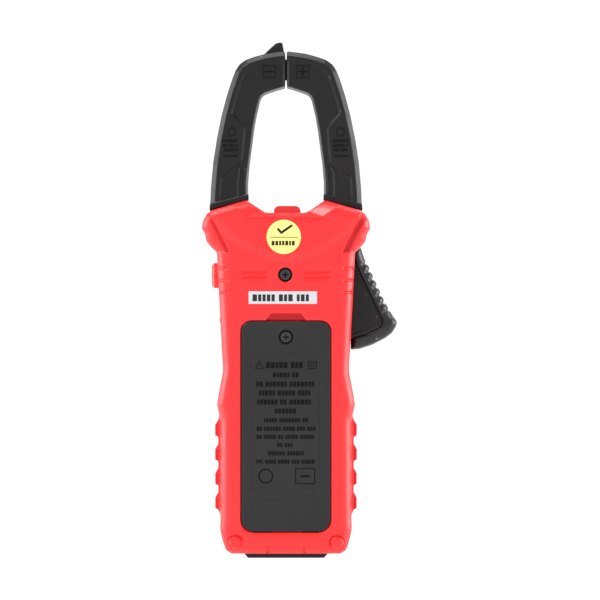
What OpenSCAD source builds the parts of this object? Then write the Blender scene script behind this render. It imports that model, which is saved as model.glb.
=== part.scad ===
// Clamp meter: red two-part case, fixed and swinging jaw, thumb-wheel selector, battery cover.
// Millimetres. Z runs up along the meter, the rear face looks to -Y, the trigger is on +X.
// The parting plane of the case is Y = 0, and the base rests at Z = 0.

/* [Case] */
// Depth of the rear case half
rear_depth = 14.5; // [14.5:0.1:14.8]
// Depth of the front case half
front_depth = 14.5; // [14.5:0.1:14.8]
// Wall thickness of the case
wall = 2.2; // [2.0:0.1:2.4]
// Half-width of the grip teeth
tooth_w = 29.5; // [29.2:0.1:29.8]
// How far the chevron plate stands off the rear face
plate_h = 1; // [0.8:0.1:1.2]

/* [Battery cover] */
// Width of the battery cover
cover_w = 37; // [36.6:0.1:37.2]
// Gap between the cover and the case
cover_gap = 0.4; // [0.35:0.05:0.5]
// Height of the raised bars on the cover
bar_h = 0.3; // [0.2:0.1:0.4]

/* [Jaws] */
// Half-depth of the jaws
jaw_y = 8; // [7.8:0.1:8.1]
// Wall thickness of the jaw shells
jaw_wall = 1.8; // [1.6:0.1:2]
// Width of the bevel along the outer edge of the jaws
jaw_bevel = 2; // [1.6:0.1:2.2]

/* [Selector] */
// Radius of the thumb wheel
knob_r = 27.9; // [27.6:0.1:28]
// Height of the grip bar over the wheel
bar_rise = 3.6; // [3:0.2:4]

/* [Hidden] */
$fn = 64;
eps = 0.01;
red = [0.88, 0.10, 0.11];
black = [0.06, 0.06, 0.065];
grey = [0.16, 0.16, 0.165];
steel = [0.72, 0.72, 0.74];
brass = [0.80, 0.64, 0.30];
white = [0.93, 0.93, 0.90];

gap_w = 28.25;
tooth_pitch = 10.1;
tooth_z = 20.7;
cover_z0 = 11.1;
cover_z1 = 98.4;
cover_y0 = -14.7;
cover_y1 = -12.7;
hinge_z = 11.5;
hinge_y = -14.3;
hinge_r = 0.4;
pivot = [23.75, 135.6];
hub_r = 7.8;
arm_y = 5.4;
grip_y = 6.2;
grip_strip_y = 8.6;
tongue_y0 = 4.8;
tongue_y1 = 6;
pcb_y0 = 6.8;
pcb_y1 = 8.4;
knob_z = 99;
knob_y0 = 12.8;
knob_y1 = 17;
jack_x = 9.5;
jack_y = 1.5;
cover_screw_z = 91.9;
key_x = [-18, -6, 6, 18];
key_z = 62.5;

// ---- outlines ----

function tooth(k) = [
    [gap_w, tooth_z + k * tooth_pitch - 0.7],
    [tooth_w, tooth_z + k * tooth_pitch],
    [tooth_w, tooth_z + k * tooth_pitch + 4.4],
    [gap_w, tooth_z + k * tooth_pitch + 6.4]];

// Outline of the grip strip on one side, with its four teeth
grip_edge = concat([[25.9, 17.2], [27.3, 17.5]], [for (k = [0:3]) for (p = tooth(k)) p],
    [[27.7, 59.8], [25.9, 60.2]]);

// Half-width of the case against height, from the bottom to the shoulders
case_side = [
    [22.6, 1.7], [25, 3.1], [26.25, 6.5], [27.1, 9.8], [27.5, 12.3], [27.3, 17.5], [27.2, 57.8],
    [27.9, 59.8], [28.75, 64], [28.3, 66.5], [27.1, 73.1], [26.25, 77], [26.25, 80], [26.7, 86.5],
    [27.1, 94.8], [27.9, 109.8], [28.75, 127], [31.7, 129.8], [33.2, 131.8], [33.75, 134.8],
    [35, 136.8], [35, 138], [34.4, 140.6], [32.9, 143.1], [31.25, 144.4], [16.3, 148.8]];

// Outer and inner edge points of the right jaw, paired from root to tip
jaw_path = [
    [[31.6, 142], [15.75, 144]], [[31.7, 144.8], [15.75, 148]], [[31.25, 154.5], [15.75, 156.5]],
    [[30.35, 164.5], [15.1, 164]], [[28.75, 174.8], [14.1, 171.5]], [[26.8, 184.3], [13.25, 178.1]],
    [[24.6, 192.6], [12.2, 184]], [[22.4, 199.3], [11.1, 188.6]], [[21, 203], [10.7, 190.3]],
    [[19.3, 205.5], [10, 191.8]], [[16.8, 207.3], [8.9, 192.7]], [[13.5, 208.5], [7.5, 193.3]],
    [[8.75, 209.8], [5, 194.1]], [[4, 210.5], [2.6, 194.9]], [[0.25, 210.9], [0.25, 195.5]]];

// Outer edge of the trigger, from its top to its lower inner corner
trigger_edge = [[31.1, 129.4], [32.5, 125], [34, 121.5], [40.4, 107.4], [42.1, 104.8], [44.6, 100.6],
    [46, 98.9], [46.3, 97.6], [45.8, 96], [44.2, 93.5], [41.25, 91.3], [35.8, 88.5], [30.8, 86.9], [27, 86.5]];
// Edge of the recessed panel inside the trigger's rim
panel_edge = [[28.4, 128.6], [29.6, 121.5], [40.2, 99.4], [40.4, 97.6], [39.2, 95.6], [34.2, 93.1], [27.4, 91.3]];

module case_outline() {
    right = case_side;
    left = [for (i = [len(right) - 1:-1:0]) [-right[i][0], right[i][1]]];
    polygon(concat(right, left));
}

// Drawn in X and Z, and given depth from y0 to y1
module slab(y0, y1) {
    translate([0, y1, 0])
        rotate([90, 0, 0])
            linear_extrude(y1 - y0)
                children();
}

module box(x0, x1, y0, y1, z0, z1) {
    translate([x0, y0, z0])
        cube([x1 - x0, y1 - y0, z1 - z0]);
}

// A round bar along Y
module rod_y(x, z, r, y0, y1) {
    translate([x, y1, z])
        rotate([90, 0, 0])
            cylinder(r = r, h = y1 - y0);
}

module rod_x(y, z, r, x0, x1) {
    translate([x0, y, z])
        rotate([0, 90, 0])
            cylinder(r = r, h = x1 - x0);
}

module rod_z(x, y, r, z0, z1) {
    translate([x, y, z0])
        cylinder(r = r, h = z1 - z0);
}

// A closed solid through a row of rings, each with the same number of points
module loft(rings) {
    n = len(rings[0]);
    m = len(rings);
    polyhedron(
        points = [for (r = rings) for (p = r) p],
        faces = concat(
            [[for (i = [0:n - 1]) i]],
            [[for (i = [n - 1:-1:0]) (m - 1) * n + i]],
            [for (j = [0:m - 2]) for (i = [0:n - 1])
                [j * n + i, (j + 1) * n + i, (j + 1) * n + (i + 1) % n]],
            [for (j = [0:m - 2]) for (i = [0:n - 1])
                [j * n + i, (j + 1) * n + (i + 1) % n, j * n + (i + 1) % n]]));
}

// Cross-section of a case half with rounded long edges, at one height
function half_ring(w, z, d) = [
    [-w, 0, z], [-w, 4 - d, z], [-w + 0.8, 1.6 - d, z], [-w + 2.4, 0.4 - d, z], [-w + 4.4, -d, z],
    [w - 4.4, -d, z], [w - 2.4, 0.4 - d, z], [w - 0.8, 1.6 - d, z], [w, 4 - d, z], [w, 0, z]];

// The toothed strips stand out of the sides over the middle of the depth
module half_block(d) {
    loft([for (p = case_side) half_ring(p[0], p[1], d)]);
    for (s = [-1, 1])
        slab(-grip_strip_y, 0)
            polygon([for (p = grip_edge) [s * p[0], p[1]]]);
}

// What is cut from the top of both halves: the dip between the jaws and the slope towards them
module top_cut(d) {
    slab(-d - 3, eps)
        polygon([[-7.7, 143.5], [7.7, 143.5], [9.2, 144], [16.3, 148.8], [16.3, 152], [-16.3, 152],
            [-16.3, 148.8], [-9.2, 144]]);
    rotate([90, 0, 90])
        translate([0, 0, -40])
            linear_extrude(80)
                polygon([[-d - 3, 139], [-d, 139.5], [-11.2, 149], [-11.2, 152], [-d - 3, 152]]);
    rotate([90, 0, 90])
        translate([0, 0, -40])
            linear_extrude(80)
                polygon([[-d - 3, 6], [-d, 6], [-12.4, 1.6], [-12.4, 0], [-d - 3, 0]]);
}

// Room for the jaws and the trigger, in the rear half
module jaw_room() {
    box(15.3, 40, -8.9, eps, 127, 152);
    box(20, 40, -6.8, eps, 85.9, 127 + eps);
    box(-31.95, -15.6, -8.15, eps, 137, 152);
}

module cavity(d) {
    slab(wall - d, eps)
        intersection() {
            offset(delta = -wall)
                case_outline();
            polygon([[-40, 0], [40, 0], [40, 143], [14, 145], [8, 141.3], [-8, 141.3], [-14, 145], [-40, 143]]);
        }
}

module rounded(w, z0, z1, r0, r1) {
    hull() {
        translate([r0 - w / 2, z0 + r0]) circle(r0);
        translate([w / 2 - r0, z0 + r0]) circle(r0);
        translate([r1 - w / 2, z1 - r1]) circle(r1);
        translate([w / 2 - r1, z1 - r1]) circle(r1);
    }
}

// ---- case ----

module chevron(grow) {
    polygon([[-32 - grow, 144.2], [-22 - grow, 129.4], [-18, 127.4 - grow], [-9, 124.2 - grow], [0, 122.7 - grow],
        [9, 124.2 - grow], [18, 127.4 - grow], [22 + grow, 129.4], [32 + grow, 144.2], [32 + grow, 151],
        [-32 - grow, 151]]);
}

module rear_body() {
    half_block(rear_depth);
    intersection() {
        slab(-rear_depth - 2, -rear_depth + 3)
            offset(delta = -0.4)
                case_outline();
        hull() {
            slab(-rear_depth, -rear_depth + 0.6) chevron(0);
            slab(-rear_depth - plate_h, -rear_depth) chevron(-3);
        }
    }
}

module battery_tray() {
    difference() {
        union() {
            box(-17, 17, -12.4, 0, 28.5, 85.5);
            intersection() {
                slab(-12.5, -10.8) rounded(cover_w + 5, 8.5, 101, 6, 6);
                slab(-12.6, -10.7) offset(delta = -1.6) case_outline();
            }
        }
        box(-15.5, 15.5, -13, -1.3, 30, 84);
    }
}

module rear_case() {
    color(red)
    difference() {
        union() {
            difference() {
                rear_body();
                cavity(rear_depth);
                top_cut(rear_depth);
                jaw_room();
            }
            battery_tray();
            rod_y(pivot[0], pivot[1], 4.5, -12.5, -8.4);
            rod_y(-0.3, 117.8, 3.4, -13, -1.5);
            rod_y(0, cover_screw_z, 3.5, -11.5, -4.5);
            for (s = [-1, 1]) {
                rod_y(21 * s, 6.7, 2.7, -rear_depth - 0.5, -rear_depth + 1);
                rod_y(14.5 * s, 79.5, 1.5, -8, -1.2);
            }
            box(-32, -30, -12.5, -8.4, 130, 137);
            box(-24, -16, -12.5, -8.4, 131, 133);
        }
        slab(-18, -12.5) rounded(cover_w + 2 * cover_gap, cover_z0 - 0.4, cover_z1 + 0.4, 5.3, 4.6);
        box(-15.5, 15.5, -13, -1.3, 30, 84);
        slab(-18, -13.2) polygon([[-8.4, 98], [8.4, 98], [6.2, 101.7], [-6.2, 101.7]]);
        rod_y(-0.3, 117.8, 3.05, -18, -12.6);
        rod_y(-0.3, 117.8, 1.45, -18, 1);
        for (s = [-1, 1]) {
            rod_y(14.5 * s, 79.5, 1.45, -18, 1);
            rod_y(14.5 * s, 79.5, 2.7, -12.6, -8);
            rod_y(21 * s, 6.7, 1.8, -rear_depth - 1, -rear_depth - 0.2);
            box(7.2 * s - 0.4, 7.2 * s + 0.4, -16, -rear_depth + 1.4, 1, 5);
            for (k = [0:2])
                box(26 * s - 2.4, 26 * s + 2.4, -16, -rear_depth + 0.5, 110 + 5 * k, 111.1 + 5 * k);
            for (z = [116.7, 118.9])
                box(13.5 * s - 5.8, 13.5 * s + 5.8, -16, -rear_depth + 0.6, z - 0.55, z + 0.55);
            box(10 * s - 3.4, 10 * s + 3.4, -12.6, -10, 8.9, 13.6);
        }
        rod_y(0, cover_screw_z, 2.3, -12.6, -5.5);
        rod_y(pivot[0], pivot[1], 2.02, -12, 0);
        box(-40, -20, -3.3, eps, 112, 123);
        box(-17.6, 17.6, -8.3, eps, 0, 6);
        box(-5.2, 6.2, -4.7, eps, 140, 150);
    }
}

module front_case() {
    color(red)
    difference() {
        union() {
            difference() {
                mirror([0, 1, 0]) half_block(front_depth);
                mirror([0, 1, 0]) cavity(front_depth);
                mirror([0, 1, 0]) top_cut(front_depth);
                mirror([0, 1, 0]) jaw_room();
            }
            intersection() {
                rod_y(0, knob_z, 30, 10.8, 12.6);
                slab(10, 13) offset(delta = -1) case_outline();
            }
            rod_y(pivot[0], pivot[1], 3.4, 6.6, 12.6);
            rod_y(-0.3, 117.8, 3.4, 0.2, 11);
            for (s = [-1, 1])
                rod_y(14.5 * s, 79.5, 3, 0.2, 11);
            box(-32, -30, 8.4, 12.5, 130, 137);
            box(-24, -16, 8.4, 12.5, 131, 133);
        }
        rod_y(0, knob_z, knob_r + 0.5, 12.4, 20);
        rod_y(0, knob_z, 6, 10, 13);
        rod_y(-0.3, 117.8, 1.43, -1, 9.6);
        for (s = [-1, 1])
            rod_y(14.5 * s, 79.5, 1.43, -1, 9.6);
        rod_y(pivot[0], pivot[1], 2.02, -1, 12);
        slab(13.6, 18) rounded(46.2, 19.9, 69.1, 4.1, 4.1);
        box(-18, 18, 10, 15, 29, 51);
        for (x = key_x)
            box(x - 4.6, x + 4.6, 10, 15, key_z - 3.6, key_z + 3.6);
        box(-40, -20, -eps, 3.3, 112, 123);
        box(-17.6, 17.6, -eps, 11.3, 0, 6);
        box(-5.2, 6.2, -eps, 4.7, 140, 150);
    }
}

module front_panel() {
    color(grey)
    difference() {
        slab(13.6, 15) rounded(46, 20, 69, 4, 4);
        box(-20, 20, 13, 16, 27, 53);
        for (x = key_x)
            box(x - 4.6, x + 4.6, 13, 16, key_z - 3.6, key_z + 3.6);
    }
}

module display_window() {
    color([0.75, 0.82, 0.85])
    slab(13.6, 14.8) rounded(39.8, 27.1, 52.9, 1.2, 1.2);
}

module display_glass() {
    color([0.62, 0.68, 0.60])
    box(-19.5, 19.5, 10.2, 12.2, 28, 52);
}

module backlight_plate() {
    color(white)
    box(-19.5, 19.5, 8.8, 10.1, 28, 52);
}

module contact_strip() {
    color([0.85, 0.45, 0.55])
    box(-18, 18, pcb_y1, 10.2, 25.4, 27.6);
}

// ---- board ----

module main_board() {
    color([0.08, 0.32, 0.16])
    difference() {
        slab(pcb_y0, pcb_y1)
            polygon([[-22, 24.6], [22, 24.6], [24.6, 30], [24.6, 62], [23.2, 78], [23.2, 122], [14, 126], [7, 126],
                [7, 139], [-6, 139], [-6, 126], [-22, 126], [-23.2, 78], [-24.6, 62], [-24.6, 30]]);
        rod_y(-0.3, 117.8, 3.7, 6, 9);
        for (s = [-1, 1])
            rod_y(14.5 * s, 79.5, 3.3, 6, 9);
    }
}

module meter_chip() {
    color(black)
    box(-7, 7, 5.2, pcb_y0, 50, 64);
    color(steel)
    for (k = [0:9]) {
        box(-6.4 + 1.35 * k, -5.9 + 1.35 * k, 6.1, pcb_y0, 48.6, 50);
        box(-6.4 + 1.35 * k, -5.9 + 1.35 * k, 6.1, pcb_y0, 64, 65.4);
    }
}

module board_parts() {
    color([0.55, 0.42, 0.28])
    for (k = [0:5]) {
        box(-19 + 2.4 * k, -17.6 + 2.4 * k, 5.9, pcb_y0, 70, 73);
        box(-19 + 2.4 * k, -17.6 + 2.4 * k, 5.9, pcb_y0, 90, 93);
    }
    color([0.2, 0.35, 0.6])
    for (x = [-14, 13])
        rod_y(x, 40, 2.2, 1.2, pcb_y0);
}

module buzzer() {
    color(black)
    difference() {
        rod_y(-14, 104, 6, 3.4, pcb_y0);
        rod_y(-14, 104, 1, 3, 4.4);
    }
}

module key_switches() {
    for (x = key_x) {
        color(steel)
        box(x - 3, x + 3, pcb_y1, 9.2, key_z - 3, key_z + 3);
        color(black)
        rod_y(x, key_z, 1.6, 9.2, 9.8);
    }
}

module side_switch() {
    color(steel)
    box(-23.2, -20, -2.6, pcb_y0, 114, 121);
    color(black)
    rod_x(0, 117.5, 1.3, -23.8, -23.2);
}

module signal_lens() {
    color([0.70, 0.05, 0.06])
    union() {
        intersection() {
            box(-5, 6, -4.5, 4.5, 141, 146.5);
            slab(-4.5, 4.5)
                polygon([[-5, 141], [6, 141], [6, 145], [5.2, 146.1], [4, 146.5], [-3, 146.5], [-4.2, 146.1], [-5, 145]]);
        }
        box(-6.4, 7.4, -5.5, 5.5, 139.6, 141);
    }
}

module signal_led() {
    color([0.95, 0.85, 0.8])
    translate([0.5, 3, 134])
        cylinder(r = 1.5, h = 4.5);
    color(steel)
    for (x = [-0.5, 1.5]) {
        rod_z(x, 3, 0.25, 131, 134);
        rod_y(x, 131, 0.25, 2.75, pcb_y0);
    }
}

module terminal_block() {
    color(black)
    difference() {
        union() {
            hull() {
                box(-17.3, 17.3, -8, 11, 1.6, 2.3);
                box(-15.8, 15.8, -7.4, 10.4, 0, 0.1);
            }
            box(-17.3, 17.3, -8, 11, 2.3, 5.6);
            box(-16, 16, -6, 6.5, 5.6, 20);
        }
        for (s = [-1, 1]) {
            rod_z(jack_x * s, jack_y, 4.4, -1, 17);
            rod_z(jack_x * s, jack_y, 2.6, 16, 21);
        }
    }
}

module socket(x) {
    difference() {
        union() {
            rod_z(x, jack_y, 2.6, 4, 24);
            rod_z(x, jack_y, 3.2, 20, 21.5);
        }
        rod_z(x, jack_y, 2, 3, 22.5);
    }
}

module com_socket() {
    color(brass)
    socket(-jack_x);
}

module volt_socket() {
    color(brass)
    socket(jack_x);
}

// ---- battery bay ----

module cell(x, turn) {
    translate([x, -6.65, 55.5])
        rotate([turn, 0, 0])
            translate([0, 0, -22]) {
                color([0.12, 0.22, 0.38]) cylinder(r = 5.2, h = 43);
                color(steel) translate([0, 0, 43]) cylinder(r = 1.9, h = 1);
            }
}

module cell_left() {
    cell(-7.2, 0);
}

module cell_right() {
    cell(7.2, 180);
}

module coil_rings(x, z, up) {
    for (k = [0:3])
        translate([x, -6.65, z + up * 0.75 * k])
            rotate_extrude()
                translate([4 - 0.6 * k, 0])
                    circle(r = 0.4, $fn = 24);
}

module cell_springs() {
    color(steel) {
        coil_rings(-7.2, 30.8, 1);
        coil_rings(7.2, 83.2, -1);
        rod_z(-7.2, -6.65, 0.4, 30.4, 33.5);
        rod_z(7.2, -6.65, 0.4, 80.5, 83.6);
        box(-11.6, -2.8, -7.1, -6.2, 30, 30.45);
        box(2.8, 11.6, -7.1, -6.2, 83.55, 84);
    }
}

module cell_plates() {
    color(steel) {
        box(-11, -3.4, -10.5, -2.8, 83.5, 84);
        box(3.4, 11, -10.5, -2.8, 30, 30.5);
        rod_z(-7.2, -6.65, 2.4, 78, 83.5);
        rod_z(7.2, -6.65, 2.4, 30.5, 33);
    }
}

module threaded_insert() {
    color(brass)
    difference() {
        rod_y(0, cover_screw_z, 2.3, -12.4, -5.5);
        rod_y(0, cover_screw_z, 1.8, -13, -5);
    }
}

// A screw with a flange under its head, and a cross slot
module case_screw(x, z, r, y_head, y_end) {
    difference() {
        union() {
            rod_y(x, z, 0.72 * r, y_head, y_head + 0.6);
            rod_y(x, z, r, y_head + 0.6, y_head + 1.6);
            rod_y(x, z, 1.4, y_head + 1.6, y_end);
        }
        box(x - 1.3, x + 1.3, y_head - 1, y_head + 1, z - 0.3, z + 0.3);
        box(x - 0.3, x + 0.3, y_head - 1, y_head + 1, z - 1.3, z + 1.3);
    }
}

module case_screws() {
    color(black) {
        case_screw(-0.3, 117.8, 2.95, -14.2, 8);
        case_screw(-14.5, 79.5, 2.5, -9.6, 8);
        case_screw(14.5, 79.5, 2.5, -9.6, 8);
    }
}

module pivot_pin() {
    color(steel)
    rod_y(pivot[0], pivot[1], 2, -12, 12);
}

module jaw_spring() {
    color(steel) {
        for (k = [0:3])
            translate([pivot[0], 7.2 + 1.0 * k, pivot[1]])
                rotate([90, 0, 0])
                    rotate_extrude()
                        translate([4.3, 0])
                            circle(r = 0.5, $fn = 24);
        translate([pivot[0], 7.2, pivot[1] - 12.5])
            cylinder(r = 0.5, h = 8);
        translate([pivot[0], 10.2, pivot[1]])
            rotate([0, -135, 0])
                translate([0, 0, 4.5])
                    cylinder(r = 0.5, h = 8);
    }
}

module detent_ball() {
    color(steel)
    translate([9.5, 9.55, knob_z + 13])
        rotate_extrude()
            difference() {
                circle(r = 1.1);
                translate([-3, -3]) square([3, 6]);
            }
}

module round_sticker() {
    color([0.96, 0.92, 0.35])
    rod_y(-0.9, 133.5, 7.1, -rear_depth - plate_h - 0.12, -rear_depth - plate_h);
}

module rear_label() {
    color(white)
    box(-15.5, 12.9, -rear_depth - 0.12, -rear_depth, 105.7, 110.9);
}

// ---- jaws ----

// Half cross-section of a jaw at one pair of edge points, bevelled at its outer and inner edge
function jaw_ring(p) = let (o = p[0], i = p[1], u = (i - o) / norm(i - o)) [
    [i[0], 0, i[1]],
    [i[0], 1 - jaw_y, i[1]],
    [i[0] - u[0], -jaw_y, i[1] - u[1]],
    [o[0] + jaw_bevel * u[0], -jaw_y, o[1] + jaw_bevel * u[1]],
    [o[0], jaw_bevel - jaw_y, o[1]],
    [o[0], 0, o[1]]];

module jaw_shape() {
    polygon(concat([for (p = jaw_path) p[0]], [for (k = [len(jaw_path) - 1:-1:0]) jaw_path[k][1]]));
}

// Regions of the jaw's face that are sunk: an upper and a lower panel with a raised band between
module upper_field() {
    polygon([[0.8, 190], [0.8, 215], [26, 215], [26, 188.4], [23.3, 186], [19.2, 181.4], [15.4, 177.5], [8, 177.5],
        [4, 186]]);
}

module lower_field() {
    polygon([[12, 150], [12, 168], [17.6, 166], [19.3, 164.5], [27, 158.6], [34, 156], [34, 146], [30, 148]]);
}

module sunk_panels() {
    slab(-jaw_y - 1, 0.6 - jaw_y)
        intersection() {
            offset(delta = -2.4) jaw_shape();
            union() {
                upper_field();
                lower_field();
            }
        }
}

// Right-hand jaw shell half with its root collar
module jaw_half() {
    difference() {
        union() {
            loft([for (p = jaw_path) jaw_ring(p)]);
            slab(-jaw_y - 0.5, 0)
                polygon([[31.85, 144.85], [31.7, 147], [15.65, 151.2], [15.65, 149.05]]);
        }
        slab(jaw_wall - jaw_y, eps)
            offset(delta = -jaw_wall)
                jaw_shape();
        sunk_panels();
        box(-1, 3, -3.55, eps, 200, 206.6);
        slab(-jaw_y - 1, eps)
            polygon([[-1, 208.3], [0.25, 208.3], [0.75, 212], [-1, 212]]);
        slab(-jaw_y - 1, eps)
            polygon([[-1, 198.8], [0.25, 198.8], [0.75, 195], [-1, 195]]);
    }
}

module trigger_outer() {
    polygon(concat(trigger_edge, [[27.4, 91.3], [25.5, 95], [24, 112], [22.5, 128]]));
}

module trigger_inner() {
    polygon(concat(panel_edge, [[25.5, 95], [24, 112], [22.5, 128]]));
}

module arm_shape() {
    trigger_inner();
    polygon([[17, 131], [31.2, 133], [28.4, 128], [22.5, 127], [18.5, 129]]);
}

// One half of the swinging jaw: jaw, neck, hub and arm
module swing_half(hub_y) {
    difference() {
        union() {
            jaw_half();
            slab(-6.2, 0)
                polygon([[16, 135], [31.5, 135], [31.6, 142.3], [15.75, 144.3]]);
            slab(-arm_y, 0) arm_shape();
            rod_y(pivot[0], pivot[1], hub_r, -hub_y, 0);
        }
        rod_y(pivot[0], pivot[1], 2.05, -9, 1);
        slab(1.6 - arm_y, eps)
            offset(delta = -1.8) trigger_inner();
    }
}

module moving_jaw_rear() {
    color(black)
    swing_half(7.8);
}

// The groove takes the tongue of the fixed jaw, so that no light passes the gap
module moving_jaw_front() {
    color(black)
    difference() {
        mirror([0, 1, 0]) swing_half(6.2);
        box(-1, 1.45, tongue_y0 - 0.4, tongue_y1 + 0.4, 198, 208.6);
    }
}

module trigger_grip() {
    color(grey)
    difference() {
        union() {
            slab(-grip_y, grip_y) trigger_outer();
            for (k = [0:4])
                rod_y(34.2 + 1.55 * k, 119.6 - 3.3 * k, 1.75, -grip_y, grip_y);
        }
        slab(-grip_y - 1, grip_y + 1) trigger_inner();
        rod_y(pivot[0], pivot[1], hub_r + 0.1, -9, 9);
        slab(-grip_y - 1, grip_y + 1)
            polygon([[15, 127.9], [28.46, 127.9], [31.3, 133.0], [31.3, 140], [15, 140]]);
    }
}

module core_shape() {
    offset(delta = -4.4) jaw_shape();
    translate([0.3, 200.1]) square([6, 6.4]);
}

module right_core() {
    slab(-3.5, 3.5) core_shape();
}

module moving_core() {
    color(steel)
    right_core();
}

module fixed_core() {
    color(steel)
    mirror([1, 0, 0]) right_core();
}

module band(inset, z0, z1) {
    intersection() {
        offset(delta = -inset) jaw_shape();
        translate([8, z0]) square([26, z1 - z0]);
    }
}

module coil_bobbin() {
    color(white)
    mirror([1, 0, 0])
        difference() {
            union() {
                slab(-4.3, 4.3) band(3.6, 152, 186);
                slab(-6, 6) band(2, 152, 153.2);
                slab(-6, 6) band(2, 184.8, 186);
            }
            slab(-3.5, 3.5) offset(delta = -4.4) jaw_shape();
        }
}

module coil() {
    color([0.72, 0.38, 0.16])
    mirror([1, 0, 0])
        difference() {
            slab(-5.6, 5.6) band(2.3, 153.2, 184.8);
            slab(-4.3, 4.3) band(3.6, 152, 186);
        }
}

module coil_leads() {
    color([0.75, 0.1, 0.1])
    for (x = [-21, -18.5]) {
        rod_z(x, 5, 0.5, 124.5, 152);
        rod_y(x, 124.5, 0.5, 4.5, pcb_y0);
    }
}

module sensing_plate() {
    color(brass)
    box(-7, -2.2, 1.0, 1.4, 207.2, 208.4);
}

module tip_shape() {
    polygon([[-9.6, 209.2], [-8.4, 210.6], [-4.2, 214.8], [-1.3, 214.8], [-0.6, 210.2], [-0.6, 209.2]]);
}

module fixed_root() {
    polygon([[-31.2, 138.2], [-16, 138.2], [-15.75, 144.2], [-31.6, 142.2]]);
}

module fixed_half(tip) {
    difference() {
        union() {
            mirror([1, 0, 0]) jaw_half();
            slab(-tip, 0) tip_shape();
            slab(-jaw_y, 0) fixed_root();
        }
        box(-8, -1.6, -1.6, eps, 206.8, 208.9);
        box(-30, -17.2, -6.2, eps, 138, 146);
    }
}

module fixed_jaw_rear() {
    color(black)
    fixed_half(3);
}

module fixed_jaw_front() {
    color(black)
    union() {
        mirror([0, 1, 0]) fixed_half(5.5);
        box(-1.5, 1, tongue_y0, tongue_y1, 199.2, 207.8);
    }
}

// ---- selector ----

module selector_knob() {
    color(black)
    difference() {
        union() {
            slab(knob_y0, knob_y1)
                difference() {
                    circle_at(0, knob_z, knob_r);
                    for (k = [0:35])
                        translate([0, knob_z])
                            rotate(10 * k + 5)
                                translate([knob_r + 0.5, 0])
                                    circle(r = 1.2, $fn = 24);
                }
            hull() {
                slab(knob_y1 - 1, knob_y1) rounded(10, knob_z - 24, knob_z + 24, 5, 5);
                slab(knob_y1, knob_y1 + bar_rise) rounded(7, knob_z - 22, knob_z + 22, 3.5, 3.5);
            }
            rod_y(0, knob_z, 5.95, 10.4, knob_y0);
        }
        slab(knob_y1 + bar_rise - 0.4, knob_y1 + bar_rise + 1)
            rounded(1.8, knob_z + 12, knob_z + 21, 0.9, 0.9);
    }
}

module circle_at(x, z, r) {
    translate([x, z]) circle(r);
}

module knob_pointer() {
    color(white)
    slab(knob_y1 + bar_rise - 0.4, knob_y1 + bar_rise)
        rounded(1.8, knob_z + 12, knob_z + 21, 0.9, 0.9);
}

module switch_rotor() {
    color(white)
    difference() {
        rod_y(0, knob_z, 14.4, 9.1, 10.4);
        for (k = [0:15])
            translate([0, 0, knob_z])
                rotate([0, 22.5 * k, 0])
                    translate([-16.2, 0, 0])
                        rod_y(0, 0, 2.6, 9, 11);
    }
}

module wiper_contacts() {
    color(brass)
    for (a = [0, 120, 240])
        translate([0, 0, knob_z])
            rotate([0, a, 0])
                box(6, 9, 8.75, 9.1, -0.6, 0.6);
}

// ---- battery cover ----

module cover_bars() {
    for (k = [0:8])
        box(-11 + (k % 3), 11 - (k % 2) * 3, cover_y0 - bar_h, cover_y0 + eps, 41.2 + 4.4 * k, 42.9 + 4.4 * k);
    slab(cover_y0 - bar_h, cover_y0 + eps)
        difference() {
            rounded(28, 29, 84.8, 1.5, 1.5);
            rounded(26.6, 29.7, 84.1, 1, 1);
        }
    slab(cover_y0 - bar_h, cover_y0 + eps)
        difference() {
            rounded(28, 19.2, 24.4, 0.8, 0.8);
            rounded(26.8, 19.8, 23.8, 0.4, 0.4);
        }
}

module battery_cover() {
    color(grey)
    difference() {
        union() {
            intersection() {
                slab(cover_y0, cover_y1) rounded(cover_w, cover_z0, cover_z1, 5.4, 4.2);
                box(-20, 20, -16, -11, hinge_z, 100);
            }
            rod_x(hinge_y, hinge_z, hinge_r, -13, 13);
            cover_bars();
            rod_y(0, cover_screw_z, 3.9, cover_y0, cover_y1);
        }
        rod_y(0, cover_screw_z, 3.1, -16, -13.3);
        rod_y(0, cover_screw_z, 1.3, -16, -12);
    }
}

module cover_screw() {
    color(black)
    difference() {
        union() {
            rod_y(0, cover_screw_z, 2.1, -14.5, -14);
            rod_y(0, cover_screw_z, 2.95, -14, -13.3);
            rod_y(0, cover_screw_z, 1.2, -13.3, -6.5);
        }
        box(-1.3, 1.3, -15, -13.8, cover_screw_z - 0.3, cover_screw_z + 0.3);
        box(-0.3, 0.3, -15, -13.8, cover_screw_z - 1.3, cover_screw_z + 1.3);
    }
}

module foam_pad() {
    color(black)
    box(-12, 12, -12.7, -12.1, 36, 74);
}

// ---- buttons ----

module side_button() {
    color(red)
    union() {
        hull() {
            box(-30, -25.7, -2.9, 2.9, 112.3, 122.7);
            box(-31, -25.7, -2, 2, 113.4, 121.6);
        }
        box(-25.7, -25.2, -4.2, 4.2, 111, 124);
    }
}

module key_at(x) {
    hull() {
        box(x - 4.25, x + 4.25, 12, 15.6, key_z - 3.25, key_z + 3.25);
        box(x - 3.5, x + 3.5, 12, 16.2, key_z - 2.5, key_z + 2.5);
    }
    box(x - 5.4, x + 5.4, 11, 12, key_z - 4.4, key_z + 4.4);
    box(x - 1.5, x + 1.5, 10.9, 11, key_z - 1.5, key_z + 1.5);
}

module key_a() {
    color(grey)
    key_at(key_x[0]);
}

module key_b() {
    color(grey)
    key_at(key_x[1]);
}

module key_c() {
    color(grey)
    key_at(key_x[2]);
}

module key_d() {
    color(grey)
    key_at(key_x[3]);
}

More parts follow.
